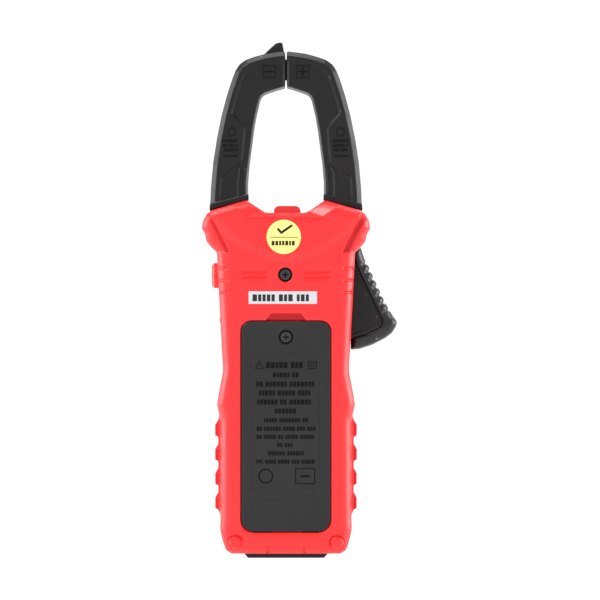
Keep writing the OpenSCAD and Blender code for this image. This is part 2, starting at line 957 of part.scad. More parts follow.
rear_case();
front_case();
front_panel();
display_window();
display_glass();
backlight_plate();
contact_strip();
main_board();
meter_chip();
board_parts();
buzzer();
key_switches();
side_switch();
signal_lens();
signal_led();
terminal_block();
com_socket();
volt_socket();
cell_left();
cell_right();
cell_springs();
cell_plates();
threaded_insert();
case_screws();
pivot_pin();
jaw_spring();
detent_ball();
round_sticker();
rear_label();
fixed_jaw_rear();
fixed_jaw_front();
fixed_core();
coil_bobbin();
coil();
coil_leads();
sensing_plate();
moving_jaw_rear();
moving_jaw_front();
moving_core();
trigger_grip();
selector_knob();
knob_pointer();
switch_rotor();
wiper_contacts();
battery_cover();
cover_screw();
foam_pad();
side_button();
key_a();
key_b();
key_c();
key_d();
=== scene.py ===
"""Looks of the clamp meter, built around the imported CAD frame. Lengths in the field code are millimetres."""

import math
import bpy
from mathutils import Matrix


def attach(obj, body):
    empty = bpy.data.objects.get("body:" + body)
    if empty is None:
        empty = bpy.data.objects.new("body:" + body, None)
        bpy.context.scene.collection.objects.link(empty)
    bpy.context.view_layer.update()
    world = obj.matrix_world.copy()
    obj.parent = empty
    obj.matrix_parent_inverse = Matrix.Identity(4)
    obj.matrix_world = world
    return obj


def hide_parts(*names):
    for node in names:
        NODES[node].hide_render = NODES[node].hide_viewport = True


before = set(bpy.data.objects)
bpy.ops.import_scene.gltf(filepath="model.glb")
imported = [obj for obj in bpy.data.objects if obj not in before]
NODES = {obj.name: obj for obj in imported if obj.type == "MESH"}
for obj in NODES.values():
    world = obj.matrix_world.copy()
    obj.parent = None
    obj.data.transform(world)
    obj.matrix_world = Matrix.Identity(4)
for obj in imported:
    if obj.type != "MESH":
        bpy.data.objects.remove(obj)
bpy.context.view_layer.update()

import types

import bpy
import numpy as np
import openvdb
from mathutils import Vector

MM = 0.001
FLOOR_Z = -0.0002
MARK_EDGE = 0.05

# ---------------------------------------------------------------- driving sizes, as in the CAD source

REAR_Y = 14.5
FRONT_Y = 14.5
WALL = 2.2
PLATE_H = 1.0
GAP_W = 28.25
TOOTH_W = 29.5
TOOTH_Z = 20.7
TOOTH_PITCH = 10.1
PIVOT = (23.75, 135.6)
KNOB_R = 27.9
KNOB_Z = 99.0
JAW_Y = 8.0
ARM_Y = 5.4
RIM_Y = 6.2
CASE_EDGE = 3.6
COVER_Y = 14.7
COVER_SCREW = (0, 91.9)
CASE_SCREW = (-0.3, 117.8)
STICKER = (-0.9, 133.5)
BOSS = (14.5, 79.5)
BASE_DIMPLE = (21, 6.7)
BLOCK_HALF = 17.6
LENS_SLOT = (-5.2, 6.2, 139, 152)
KEY_X = (-18, -6, 6, 18)
KEY_Z = 62.5

SIDE = [(22.6, 1.7), (25, 3.1), (26.25, 6.5), (27.1, 9.8), (27.5, 12.3), (27.3, 17.5), (27.2, 57.8)]
SIDE += [(27.9, 59.8), (28.75, 64), (28.3, 66.5), (27.1, 73.1), (26.25, 77), (26.25, 80), (26.7, 86.5)]
SIDE += [(27.1, 94.8), (27.9, 109.8), (28.75, 127), (31.7, 129.8), (33.2, 131.8), (33.75, 134.8)]
SIDE += [(35, 136.8), (35, 138), (34.4, 140.6), (32.9, 143.1), (31.25, 144.4), (16.3, 148.8)]
OUTLINE = SIDE + [(-x, z) for x, z in reversed(SIDE)]
GRIP_STRIP = [(25.5, 17.2), (27.3, 17.5)]
for k in range(4):
    foot = TOOTH_Z + k * TOOTH_PITCH
    GRIP_STRIP += [(GAP_W, foot - 0.7), (TOOTH_W, foot), (TOOTH_W, foot + 4.4), (GAP_W, foot + 6.4)]
GRIP_STRIP += [(27.7, 59.8), (25.5, 60.2)]
DIP = [(-7.7, 143.5), (7.7, 143.5), (9.2, 144), (16.3, 148.8)]
DIP += [(16.3, 153), (-16.3, 153), (-16.3, 148.8), (-9.2, 144)]
CHEVRON = [(-24.4, 132.9), (-20, 129.8), (-10.3, 125), (0, 122.6), (10.3, 125), (20, 129.8), (24.4, 132.9)]
CHEVRON += [(40, 150), (40, 160), (-40, 160), (-40, 150)]
PLATEAU = [(22.9, -5), (22.9, 126.5), (24.4, 129.5), (31.4, 143.4), (34, 149), (34, 160)]
PLATEAU = PLATEAU + [(-x, z) for x, z in reversed(PLATEAU)]
BAND_Z = 127.0

JAW_OUT = [(31.6, 142), (31.7, 144.8), (31.25, 154.5), (30.35, 164.5), (28.75, 174.8), (26.8, 184.3)]
JAW_OUT += [(24.6, 192.6), (22.4, 199.3), (21, 203), (19.3, 205.5), (16.8, 207.3), (13.5, 208.5)]
JAW_OUT += [(8.75, 209.8), (4, 210.5), (0.25, 210.9)]
JAW_IN = [(15.75, 144), (15.75, 148), (15.75, 156.5), (15.1, 164), (14.1, 171.5), (13.25, 178.1)]
JAW_IN += [(12.2, 184), (11.1, 188.6), (10.7, 190.3), (10, 191.8), (8.9, 192.7), (7.5, 193.3)]
JAW_IN += [(5, 194.1), (2.6, 194.9), (0.25, 195.5)]

TRIGGER = [(31.1, 129.4), (32.5, 125), (34, 121.5), (40.4, 107.4), (42.1, 104.8), (44.6, 100.6), (46, 98.9)]
TRIGGER += [(46.3, 97.6), (45.8, 96), (44.2, 93.5), (41.25, 91.3), (35.8, 88.5), (30.8, 86.9), (27, 86.5)]
PANEL = [(28.4, 128.6), (29.6, 121.5), (40.2, 99.4), (40.4, 97.6), (39.2, 95.6), (34.2, 93.1), (27.4, 91.3)]
ARM_BACK = [(25.5, 95), (24, 112), (22.5, 128)]

# ---------------------------------------------------------------- distance fields on a grid


class Grid:
    """A box of sample points, with the X-Z plane kept apart from depth Y."""

    def __init__(self, x, y, z, step):
        self.lo = np.array([x[0], y[0], z[0]], float)
        self.step = step
        counts = [int(math.ceil((b - a) / step)) + 1 for a, b in (x, y, z)]
        self.axes = [self.lo[i] + step * np.arange(counts[i]) for i in range(3)]
        self.x = self.axes[0][:, None].astype(np.float32)
        self.z = self.axes[2][None, :].astype(np.float32)
        self.y = self.axes[1][None, :, None].astype(np.float32)


def polygon(g, points):
    """Signed distance to a closed outline in X-Z, negative inside."""
    best = np.full(np.broadcast_shapes(g.x.shape, g.z.shape), 1e9, np.float32)
    inside = np.zeros(best.shape, bool)
    for (ax, az), (bx, bz) in zip(points, points[1:] + points[:1]):
        ex, ez = bx - ax, bz - az
        t = np.clip(((g.x - ax) * ex + (g.z - az) * ez) / max(ex * ex + ez * ez, 1e-9), 0, 1)
        best = np.minimum(best, np.hypot(g.x - ax - t * ex, g.z - az - t * ez))
        if az != bz:
            crosses = (az > g.z) != (bz > g.z)
            inside ^= crosses & (g.x < ex * (g.z - az) / ez + ax)
    return np.where(inside, -best, best).astype(np.float32)


def polyline(g, points):
    """Distance to an open line in X-Z."""
    best = np.full((g.x.shape[0], g.z.shape[1]), 1e9, np.float32)
    for (ax, az), (bx, bz) in zip(points, points[1:]):
        ex, ez = bx - ax, bz - az
        t = np.clip(((g.x - ax) * ex + (g.z - az) * ez) / (ex * ex + ez * ez), 0, 1)
        best = np.minimum(best, np.hypot(g.x - ax - t * ex, g.z - az - t * ez))
    return best.astype(np.float32)


def rect(g, x0, x1, z0, z1, r=0.0):
    """Signed distance to a rectangle with rounded corners."""
    dx = np.abs(g.x - (x0 + x1) / 2) - (x1 - x0) / 2 + r
    dz = np.abs(g.z - (z0 + z1) / 2) - (z1 - z0) / 2 + r
    return np.hypot(np.maximum(dx, 0), np.maximum(dz, 0)) + np.minimum(np.maximum(dx, dz), 0) - r


def disc(g, x, z, r):
    """Signed distance to a circle."""
    return np.hypot(g.x - x, g.z - z) - r


def soften(field, sigma, step):
    """Rounds the corners of a 2D distance field."""
    n = max(1, int(3 * sigma / step))
    kernel = np.exp(-0.5 * (np.arange(-n, n + 1) * step / sigma) ** 2)
    kernel /= kernel.sum()
    for axis in (0, 1):
        pad = [(0, 0), (0, 0)]
        pad[axis] = (n, n)
        wide = np.pad(field, pad, mode="edge")
        field = sum(w * np.take(wide, range(i, i + field.shape[axis]), axis) for i, w in enumerate(kernel))
    return field.astype(np.float32)


def biggest(*fields):
    """The intersection of several fields."""
    out = fields[0]
    for f in fields[1:]:
        out = np.maximum(out, f)
    return out


def smin(a, b, k):
    """The union of two fields, blended over k."""
    h = np.clip(0.5 + 0.5 * (b - a) / k, 0, 1)
    return b + (a - b) * h - k * h * (1 - h)


def smax(a, b, k):
    """The intersection of two fields, blended over k."""
    return -smin(-a, -b, k)


def rounded_and(a, b, r):
    """Both of two distances, with their shared edge rounded to radius r."""
    a = a + r
    b = b + r
    return np.minimum(np.maximum(a, b), 0) + np.hypot(np.maximum(a, 0), np.maximum(b, 0)) - r


def extrude(d2, y, y0, y1, r=0.25):
    """A flat outline given depth from y0 to y1, with edges rounded to r."""
    return rounded_and(d2[:, None, :], np.maximum(y0 - y, y - y1), r)


class Solid:
    """A distance field that pieces are added to and cut from."""

    def __init__(self, g, field):
        self.g = g
        shape = (g.x.shape[0], g.y.shape[1], g.z.shape[1])
        self.f = np.broadcast_to(field, shape).astype(np.float32).copy()

    def _apply(self, d2, y0, y1, r, k, sign):
        near = np.argwhere(d2 < k + 1.0)
        if not len(near):
            return
        i0, k0 = near.min(0)
        i1, k1 = near.max(0) + 1
        ys = self.g.axes[1]
        j0 = int(np.clip(np.searchsorted(ys, y0 - k - 1) - 1, 0, len(ys) - 1))
        j1 = int(np.clip(np.searchsorted(ys, y1 + k + 1) + 1, j0 + 1, len(ys)))
        region = (slice(i0, i1), slice(j0, j1), slice(k0, k1))
        d = extrude(d2[i0:i1, k0:k1], self.g.y[:, j0:j1, :], y0, y1, r)
        self.f[region] = smin(self.f[region], d, k) if sign > 0 else smax(self.f[region], -d, k)

    def add(self, d2, y0, y1, r=0.25, k=0.3):
        self._apply(d2, y0, y1, r, k, 1)

    def cut(self, d2, y0, y1, r=0.25, k=0.3):
        self._apply(d2, y0, y1, r, k, -1)

    def score(self, d2, skin, depth, k=0.2):
        """Cuts a groove of even depth that follows the outer skin."""
        groove = np.maximum(d2 if d2.ndim == 3 else d2[:, None, :], -(skin + depth))
        self.f = smax(self.f, -groove, k).astype(np.float32)


def to_mesh(solid, name, mirror=(1, 1, 1), flat=0.0):
    """Meshes the zero surface of a field, in metres."""
    g = solid.g
    band = 3 * g.step
    padded = np.pad(np.clip(solid.f, -band, band), 1, constant_values=band)
    grid = openvdb.FloatGrid(band)
    grid.copyFromArray(padded.astype(np.float32))
    points, tris, quads = grid.convertToPolygons(0.0, flat)
    co = (points.astype(np.float64) - 1) * g.step + g.lo
    co *= np.array(mirror, float)
    faces = [tuple(f[::-1]) for f in tris.tolist()] + [tuple(f[::-1]) for f in quads.tolist()]
    if mirror[0] * mirror[1] * mirror[2] < 0:
        faces = [f[::-1] for f in faces]
    mesh = bpy.data.meshes.new(name)
    mesh.from_pydata((co * MM).tolist(), [], faces)
    mesh.validate()
    mesh.update()
    mesh.shade_smooth()
    obj = bpy.data.objects.new(name, mesh)
    bpy.context.scene.collection.objects.link(obj)
    return obj


def ring_faces(a, b):
    """Quads between two rings of vertex numbers that run the same way."""
    n = len(a)
    return [(a[i], b[i], b[(i + 1) % n], a[(i + 1) % n]) for i in range(n)]


def raised_marks(name, shapes, y_face, y_base, edge):
    """Low raised shapes on a rear face or, with y above 0, a front one.

    Each shape is an outline in X-Z, or an (outer, inner) pair of them."""
    verts, faces = [], []
    side = 1 if y_face < 0 else -1

    def ring(points, y):
        first = len(verts)
        verts.extend((x * MM, y * MM, z * MM) for x, z in points)
        return list(range(first, len(verts)))

    def towards(points, centre, d):
        out = []
        for x, z in points:
            r = max(math.hypot(x - centre[0], z - centre[1]), 1e-6)
            out.append((x + (centre[0] - x) * d / r, z + (centre[1] - z) * d / r))
        return out

    for shape in shapes:
        outer, inner = shape if isinstance(shape, tuple) else (shape, None)
        centre = (sum(p[0] for p in outer) / len(outer), sum(p[1] for p in outer) / len(outer))
        top = ring(towards(outer, centre, edge), y_face)
        rim = ring(outer, y_face + side * edge)
        base = ring(outer, y_base)
        faces += ring_faces(top, rim) + ring_faces(rim, base)
        if inner is None:
            faces += [tuple(top), tuple(base[::-1])]
            continue
        in_top = ring(towards(inner, centre, -edge), y_face)
        in_rim = ring(inner, y_face + side * edge)
        in_base = ring(inner, y_base)
        faces += ring_faces(in_rim, in_top) + ring_faces(in_base, in_rim)
        faces += ring_faces(in_top, top) + ring_faces(base, in_base)
    mesh = bpy.data.meshes.new(name)
    mesh.from_pydata(verts, [], [f[::side] for f in faces])
    mesh.validate()
    mesh.update()
    obj = bpy.data.objects.new(name, mesh)
    bpy.context.scene.collection.objects.link(obj)
    return obj


def bar(x0, x1, z0, z1):
    """The outline of an upright rectangle."""
    return [(x0, z0), (x1, z0), (x1, z1), (x0, z1)]


def round_outline(x, z, r, n=32):
    """The outline of a circle in n steps."""
    turns = [2 * math.pi * i / n for i in range(n)]
    return [(x + r * math.cos(t), z + r * math.sin(t)) for t in turns]


def framed(points, width):
    """An outline and the same outline drawn in by a width, towards its centre."""
    cx = sum(p[0] for p in points) / len(points)
    cz = sum(p[1] for p in points) / len(points)
    reach = min(math.hypot(x - cx, z - cz) for x, z in points)
    k = 1 - width / reach
    return points, [(cx + (x - cx) * k, cz + (z - cz) * k) for x, z in points]


def numeral(n, x, z, height, angle):
    """A plain number of straight strokes, read from the front, its top turned towards +X by an angle."""
    w, h, t, gap = 0.29 * height, 0.5 * height, 0.15 * height, 0.02
    rows = {"top": (h - t, h), "mid": (-t / 2, t / 2), "low": (-h, t - h)}
    upper, lower = (t / 2 + gap, h - t - gap), (t - h + gap, -t / 2 - gap)
    left, right = (-w, t - w), (w - t, w)
    wide = {key: bar(-w, w, *row) for key, row in rows.items()}
    short = {key: bar(-w, w - t - gap, *row) for key, row in rows.items()}
    tall = bar(*right, -h, h)
    strokes = {
        1: [bar(-t / 2, t / 2, -h, h)],
        2: [*wide.values(), bar(*right, *upper), bar(*left, *lower)],
        3: [*short.values(), tall],
        4: [short["mid"], tall, bar(*left, t / 2 + gap, h)],
        5: [*wide.values(), bar(*left, *upper), bar(*right, *lower)],
        6: [*wide.values(), bar(*left, *upper), bar(*left, *lower), bar(*right, *lower)],
        7: [short["top"], tall],
    }[n]
    c, s = math.cos(angle), math.sin(angle)
    return [[(x - u * c + v * s, z + u * s + v * c) for u, v in reversed(stroke)] for stroke in strokes]


def small_print(z, x0, x1, height, seed):
    """A row of plain blocks in groups, where the real part has a line of small print."""
    rng = np.random.default_rng(seed)
    blocks = []
    x = x0
    while x < x1 - 0.5 * height:
        for _ in range(int(rng.integers(2, 8))):
            w = height * float(rng.uniform(0.42, 0.66))
            if x + w > x1:
                break
            blocks.append(bar(x, x + w, z - height / 2, z + height / 2))
            x += w + 0.16 * height
        x += 0.42 * height
    return blocks


def add_marks(name, shapes, y_face, y_base, material, body):
    piece = raised_marks(name, shapes, y_face, y_base, MARK_EDGE)
    piece.data.materials.append(material)
    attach(piece, body)


# ---------------------------------------------------------------- materials


def new_material(name):
    m = bpy.data.materials.new(name)
    m.use_nodes = True
    tree = m.node_tree
    return m, tree, tree.nodes["Principled BSDF"]


def link(tree, a, b):
    tree.links.new(a, b)


def noise(tree, coords, scale, detail=3.0, roughness=0.5):
    n = tree.nodes.new("ShaderNodeTexNoise")
    n.inputs["Scale"].default_value = scale
    n.inputs["Detail"].default_value = detail
    n.inputs["Roughness"].default_value = roughness
    link(tree, coords, n.inputs["Vector"])
    return n.outputs["Fac"]


def remap(tree, value, lo, hi, to_lo, to_hi):
    n = tree.nodes.new("ShaderNodeMapRange")
    for key, v in (("From Min", lo), ("From Max", hi), ("To Min", to_lo), ("To Max", to_hi)):
        n.inputs[key].default_value = v
    link(tree, value, n.inputs["Value"])
    return n.outputs["Result"]


def mix_colour(tree, fac, a, b):
    n = tree.nodes.new("ShaderNodeMix")
    n.data_type = "RGBA"
    for socket, v in ((n.inputs[6], a), (n.inputs[7], b)):
        if isinstance(v, tuple):
            socket.default_value = v
        else:
            link(tree, v, socket)
    link(tree, fac, n.inputs[0])
    return n.outputs[2]


def plastic(name, colour, rough, grain, depth, vary, wear, spec=0.5):
    """Moulded plastic: fine spark texture, slow colour drift, handling marks and paler worn edges."""
    m, tree, shader = new_material(name)
    coords = tree.nodes.new("ShaderNodeTexCoord").outputs["Object"]
    base = (*colour, 1)
    dark = tuple(c * (1 - vary) for c in colour) + (1,)
    pale = tuple(min(1, c + wear * (0.455 - 0.5 * c)) for c in colour) + (1,)
    drift = noise(tree, coords, 28, 4)
    tint = mix_colour(tree, remap(tree, drift, 0.35, 0.65, 0, 1), base, dark)
    scuff = remap(tree, noise(tree, coords, 240, 5, 0.65), 0.42, 0.62, 0, 0.8)
    if wear > 0:
        edge = tree.nodes.new("ShaderNodeNewGeometry").outputs["Pointiness"]
        product = tree.nodes.new("ShaderNodeMath")
        product.operation = "MULTIPLY"
        link(tree, remap(tree, edge, 0.53, 0.62, 0, 1), product.inputs[0])
        link(tree, scuff, product.inputs[1])
        tint = mix_colour(tree, product.outputs[0], tint, pale)
    link(tree, tint, shader.inputs["Base Color"])
    smudge = noise(tree, coords, 90, 5, 0.6)
    link(tree, remap(tree, smudge, 0.3, 0.7, rough - 0.06, rough + 0.08), shader.inputs["Roughness"])
    bump = tree.nodes.new("ShaderNodeBump")
    bump.inputs["Strength"].default_value = 0.55
    bump.inputs["Distance"].default_value = depth * MM
    link(tree, noise(tree, coords, grain, 2, 0.5), bump.inputs["Height"])
    link(tree, bump.outputs["Normal"], shader.inputs["Normal"])
    shader.inputs["Specular IOR Level"].default_value = spec
    return m


def metal(name, colour, rough=0.3, along="z", streak=900, depth=0.004):
    """Metal with fine drawn or turned streaks."""
    m, tree, shader = new_material(name)
    coords = tree.nodes.new("ShaderNodeTexCoord").outputs["Object"]
    stretch = tree.nodes.new("ShaderNodeMapping")
    stretch.inputs["Scale"].default_value = {"x": (0.05, 1, 1), "y": (1, 0.05, 1), "z": (1, 1, 0.05)}[along]
    link(tree, coords, stretch.inputs["Vector"])
    lines = noise(tree, stretch.outputs["Vector"], streak, 4, 0.6)
    stain = noise(tree, coords, 120, 4)
    dark = tuple(c * 0.72 for c in colour) + (1,)
    tint = mix_colour(tree, remap(tree, stain, 0.4, 0.75, 0, 0.7), (*colour, 1), dark)
    link(tree, tint, shader.inputs["Base Color"])
    link(tree, remap(tree, lines, 0.3, 0.7, rough - 0.08, rough + 0.12), shader.inputs["Roughness"])
    bump = tree.nodes.new("ShaderNodeBump")
    bump.inputs["Strength"].default_value = 0.4
    bump.inputs["Distance"].default_value = depth * MM
    link(tree, lines, bump.inputs["Height"])
    link(tree, bump.outputs["Normal"], shader.inputs["Normal"])
    shader.inputs["Metallic"].default_value = 1.0
    return m


def clear(name, colour, rough):
    """Clear plastic with a faint tint and a few dull patches."""
    m, tree, shader = new_material(name)
    coords = tree.nodes.new("ShaderNodeTexCoord").outputs["Object"]
    dark = tuple(c * 0.9 for c in colour) + (1,)
    tint = mix_colour(tree, noise(tree, coords, 60, 3), (*colour, 1), dark)
    link(tree, tint, shader.inputs["Base Color"])
    dull = remap(tree, noise(tree, coords, 150, 4), 0.4, 0.8, rough, rough + 0.12)
    link(tree, dull, shader.inputs["Roughness"])
    shader.inputs["Transmission Weight"].default_value = 1.0
    shader.inputs["IOR"].default_value = 1.49
    return m


# Each plastic: colour, roughness, grain scale, grain depth in mm, colour variation, edge wear.
RED = plastic("case_red_plastic", (0.82, 0.017, 0.019), 0.36, 1500, 0.016, 0.06, 0.20, spec=0.36)
# A darker red that paints shade on the recessed and set-back faces of the case.
SHADE_RED = plastic("case_red_painted_shade", (0.50, 0.010, 0.013), 0.55, 1100, 0.03, 0.10, 0.05, spec=0.25)
JAW = plastic("jaw_black_plastic", (0.0075, 0.0075, 0.0078), 0.38, 1600, 0.020, 0.25, 0.30, spec=0.24)
GRIP = plastic("trigger_black_plastic", (0.008, 0.008, 0.0082), 0.32, 1500, 0.022, 0.25, 0.50, spec=0.33)
COVER_MAT = plastic("cover_charcoal_plastic", (0.018, 0.018, 0.0185), 0.52, 1300, 0.024, 0.2, 0.15, spec=0.2)
# Also used to paint shade black on the case seat behind the front panel.
BLACK_AND_SHADE = plastic("terminal_black_plastic_and_seat_shade", (0.010, 0.010, 0.0105), 0.45, 1400, 0.02, 0.25, 0.0, spec=0.3)
KNOB = plastic("knob_black_plastic", (0.010, 0.010, 0.0105), 0.42, 1500, 0.02, 0.25, 0.30, spec=0.35)
PANEL_MAT = plastic("panel_grey_plastic", (0.016, 0.016, 0.018), 0.36, 1200, 0.015, 0.15, 0.15, spec=0.35)
KEY = plastic("key_rubber", (0.075, 0.076, 0.082), 0.62, 900, 0.03, 0.15, 0.0, spec=0.3)
WHITE = plastic("white_nylon", (0.82, 0.81, 0.76), 0.5, 900, 0.02, 0.06, 0.0)
CHIP = plastic("epoxy_black", (0.02, 0.02, 0.02), 0.6, 1200, 0.03, 0.2, 0.0)
PARTS = plastic("component_ceramic", (0.42, 0.30, 0.17), 0.35, 800, 0.01, 0.3, 0.0)
BOARD = plastic("solder_mask", (0.015, 0.16, 0.06), 0.3, 700, 0.02, 0.2, 0.0)
FOAM = plastic("foam", (0.03, 0.03, 0.03), 0.85, 600, 0.12, 0.3, 0.0)
STRIP = plastic("elastomer", (0.7, 0.3, 0.35), 0.6, 700, 0.02, 0.2, 0.0)
CELL = plastic("cell_film", (0.03, 0.08, 0.20), 0.28, 500, 0.01, 0.2, 0.0)
LEAD = plastic("lead_sleeve", (0.6, 0.03, 0.03), 0.5, 900, 0.02, 0.1, 0.0)
SCREW = plastic("black_oxide", (0.018, 0.018, 0.019), 0.30, 1500, 0.02, 0.3, 0.0, spec=0.5)
STEEL = metal("nickel_steel", (0.62, 0.61, 0.58), 0.28)
CORE = metal("laminated_steel", (0.30, 0.30, 0.31), 0.42, "z", 1600)
BRASS = metal("plated_brass", (0.80, 0.58, 0.24), 0.25)
COPPER = metal("enamelled_copper", (0.62, 0.24, 0.09), 0.3, "x", 1400, 0.03)
LENS = plastic("lens_red", (0.66, 0.014, 0.016), 0.22, 500, 0.006, 0.1, 0.0)
GLASS = clear("display_window_clear", (0.92, 0.95, 0.96), 0.04)
LCD = plastic("display_glass_green", (0.34, 0.38, 0.31), 0.18, 400, 0.003, 0.08, 0.0)
YELLOW = plastic("sticker_vinyl", (0.84, 0.76, 0.20), 0.36, 700, 0.008, 0.04, 0.0)
LABEL = plastic("label_vinyl", (0.48, 0.485, 0.51), 0.4, 700, 0.008, 0.05, 0.0, spec=0.3)
INK = plastic("print_ink", (0.012, 0.012, 0.014), 0.45, 900, 0.006, 0.2, 0.0, spec=0.3)
# Also used for painted shade: dark rings and slot floors in the screw recesses.
MARK_AND_SHADE = plastic("moulded_marks_and_painted_shade", (0.003, 0.003, 0.0032), 0.6, 1300, 0.02, 0.2, 0.0, spec=0.1)
WHITE_INK = plastic("white_print", (0.70, 0.70, 0.69), 0.45, 900, 0.006, 0.08, 0.0, spec=0.3)

NODE_MATERIALS = {
    "rear_case": RED, "front_case": RED, "front_panel": PANEL_MAT, "display_window": GLASS,
    "display_glass": LCD, "backlight_plate": WHITE, "contact_strip": STRIP, "main_board": BOARD,
    "meter_chip": CHIP, "board_parts": PARTS, "buzzer": CHIP, "key_switches": STEEL,
    "side_switch": STEEL, "signal_lens": LENS, "signal_led": WHITE, "terminal_block": BLACK_AND_SHADE,
    "com_socket": BRASS, "volt_socket": BRASS, "cell_left": CELL, "cell_right": CELL,
    "cell_springs": STEEL, "cell_plates": STEEL, "threaded_insert": BRASS, "case_screws": SCREW,
    "pivot_pin": STEEL, "jaw_spring": STEEL, "detent_ball": STEEL, "round_sticker": YELLOW,
    "rear_label": LABEL, "fixed_jaw_rear": JAW, "fixed_jaw_front": JAW, "fixed_core": CORE,
    "coil_bobbin": WHITE, "coil": COPPER, "coil_leads": LEAD, "sensing_plate": BRASS,
    "moving_jaw_rear": JAW, "moving_jaw_front": JAW, "moving_core": CORE, "trigger_grip": GRIP,
    "selector_knob": KNOB, "knob_pointer": WHITE, "switch_rotor": WHITE, "wiper_contacts": BRASS,
    "battery_cover": COVER_MAT, "cover_screw": SCREW, "foam_pad": FOAM, "side_button": RED,
    "key_a": KEY, "key_b": KEY, "key_c": KEY, "key_d": KEY,
}
SMOOTHED = {"signal_lens": 0.5, "terminal_block": 0.4, "side_button": 0.5, "key_a": 0.5,
            "key_b": 0.5, "key_c": 0.5, "key_d": 0.5, "case_screws": 0.12, "cover_screw": 0.12}


def dress_cad_nodes():
    """Gives every CAD node its material, and some of them softer edges."""
    for name, material in NODE_MATERIALS.items():
        o = NODES[name]
        o.data.materials.clear()
        o.data.materials.append(material)
        if name in SMOOTHED:
            bevel = o.modifiers.new("edges", "BEVEL")
            bevel.width = SMOOTHED[name] * MM
            bevel.segments = 3
            bevel.limit_method = "ANGLE"
            bevel.angle_limit = math.radians(40)


# ---------------------------------------------------------------- case


def side_band(g):
    """Distance past the raised middle of the rear face, and how wide the step beside it is."""
    return polygon(g, PLATEAU), np.where(g.x > 0, 2.5, 1.3)


def rear_depth(g):
    """How far the rear face stands from the parting plane, over X and Z."""
    chevron = np.clip(-polygon(g, CHEVRON) / 3.0, 0, 1)
    depth = REAR_Y + PLATE_H * chevron
    beyond, width = side_band(g)
    high = g.z > BAND_Z
    lip = np.clip((beyond - width) / 0.3, 0, 1)
    outside = 0.25 * np.clip(beyond - width, 0, 5)
    sunk = 1.5 * np.clip(beyond / 0.35, 0, 1) - 0.5 * lip + outside + 0.8 * chevron * (beyond > 0)
    depth = depth - sunk * high
    depth = depth - 0.30 * np.clip(beyond, 0, 5) * ~high
    px, pz = np.abs(g.x) - 9.2, g.z - 144.0
    along, away = 0.8285 * px + 0.5601 * pz, 0.5601 * px - 0.8285 * pz
    facet = 0.62 * np.clip(5.2 - away - 1.5 * np.maximum(0, 0.78 * away - along), 0, 5.2)
    shelf = 0.8 * np.clip(g.z - 141.9 - 1.5 * np.maximum(0, np.abs(g.x) - 8.8), 0, 1.6)
    depth = depth - np.maximum(facet, shelf)
    slope_bottom = np.clip(6 - g.z, 0, 6) * 0.5
    return soften(depth - slope_bottom, 0.16, g.step)


def case_field(g, depth):
    """A closed case half towards -Y: outline, depth and rounded long edges."""
    d_case = soften(polygon(g, OUTLINE), 0.28, g.step)
    outer = rounded_and(d_case[:, None, :], -(g.y + depth(g)[:, None, :]), CASE_EDGE)
    solid = Solid(g, np.maximum(outer, g.y))
    solid.skin = outer
    for s in (-1, 1):
        strip = polygon(g, [(s * x, z) for x, z in GRIP_STRIP])
        solid.add(strip, -8.6, 1, 0.5, 0.25)
    solid.f = np.maximum(solid.f, g.y)
    d_core = np.maximum(d_case + WALL, g.z - 141.3 - np.clip(np.abs(g.x) - 8, 0, 6) * 0.55)
    solid.cut(np.maximum(d_core, 9.5 - g.z), WALL - REAR_Y, 3, 0.5, 0.3)
    solid.cut(d_core, -9.5, 3, 0.5, 0.3)
    solid.cut(soften(polygon(g, DIP), 0.3, g.step), -20, 3, 0.1, 0.5)
    return solid


def cut_jaw_room(solid):
    """Clears the case half for the jaws' roots, the trigger's swing and the selector's rim."""
    g = solid.g
    solid.cut(rect(g, 15.3, 45, 127, 156), -8.9, 3, 0.2, 0.4)
    solid.cut(rect(g, 20, 45, 85.9, 128), -6.8, 3, 0.2, 0.4)
    solid.cut(rect(g, -31.95, -15.6, 137, 156), -8.15, 3, 0.2, 0.4)
    solid.cut(rect(g, -40, -20, 112, 123, 0.6), -3.3, 3, 0.6, 0.3)


def score_small_grooves(solid):
    """Three notches in each side edge of the rear half, and two slits at its base."""
    g = solid.g
    notches = []
    for s in (-1, 1):
        for z in (110.4, 115.4, 120.4):
            notches.append(rect(g, 27.5 * s - 3.5, 27.5 * s + 3.5, z - 0.45, z + 0.45, 0.2))
    solid.score(np.maximum(np.minimum.reduce(notches)[:, None, :], g.y + 7.5), solid.skin, 0.75, 0.25)
    slits = [rect(g, 7.6 * s - 0.4, 7.6 * s + 0.4, 2.2, 5.2, 0.3) for s in (-1, 1)]
    solid.score(np.minimum.reduce(slits), solid.skin, 0.7, 0.15)


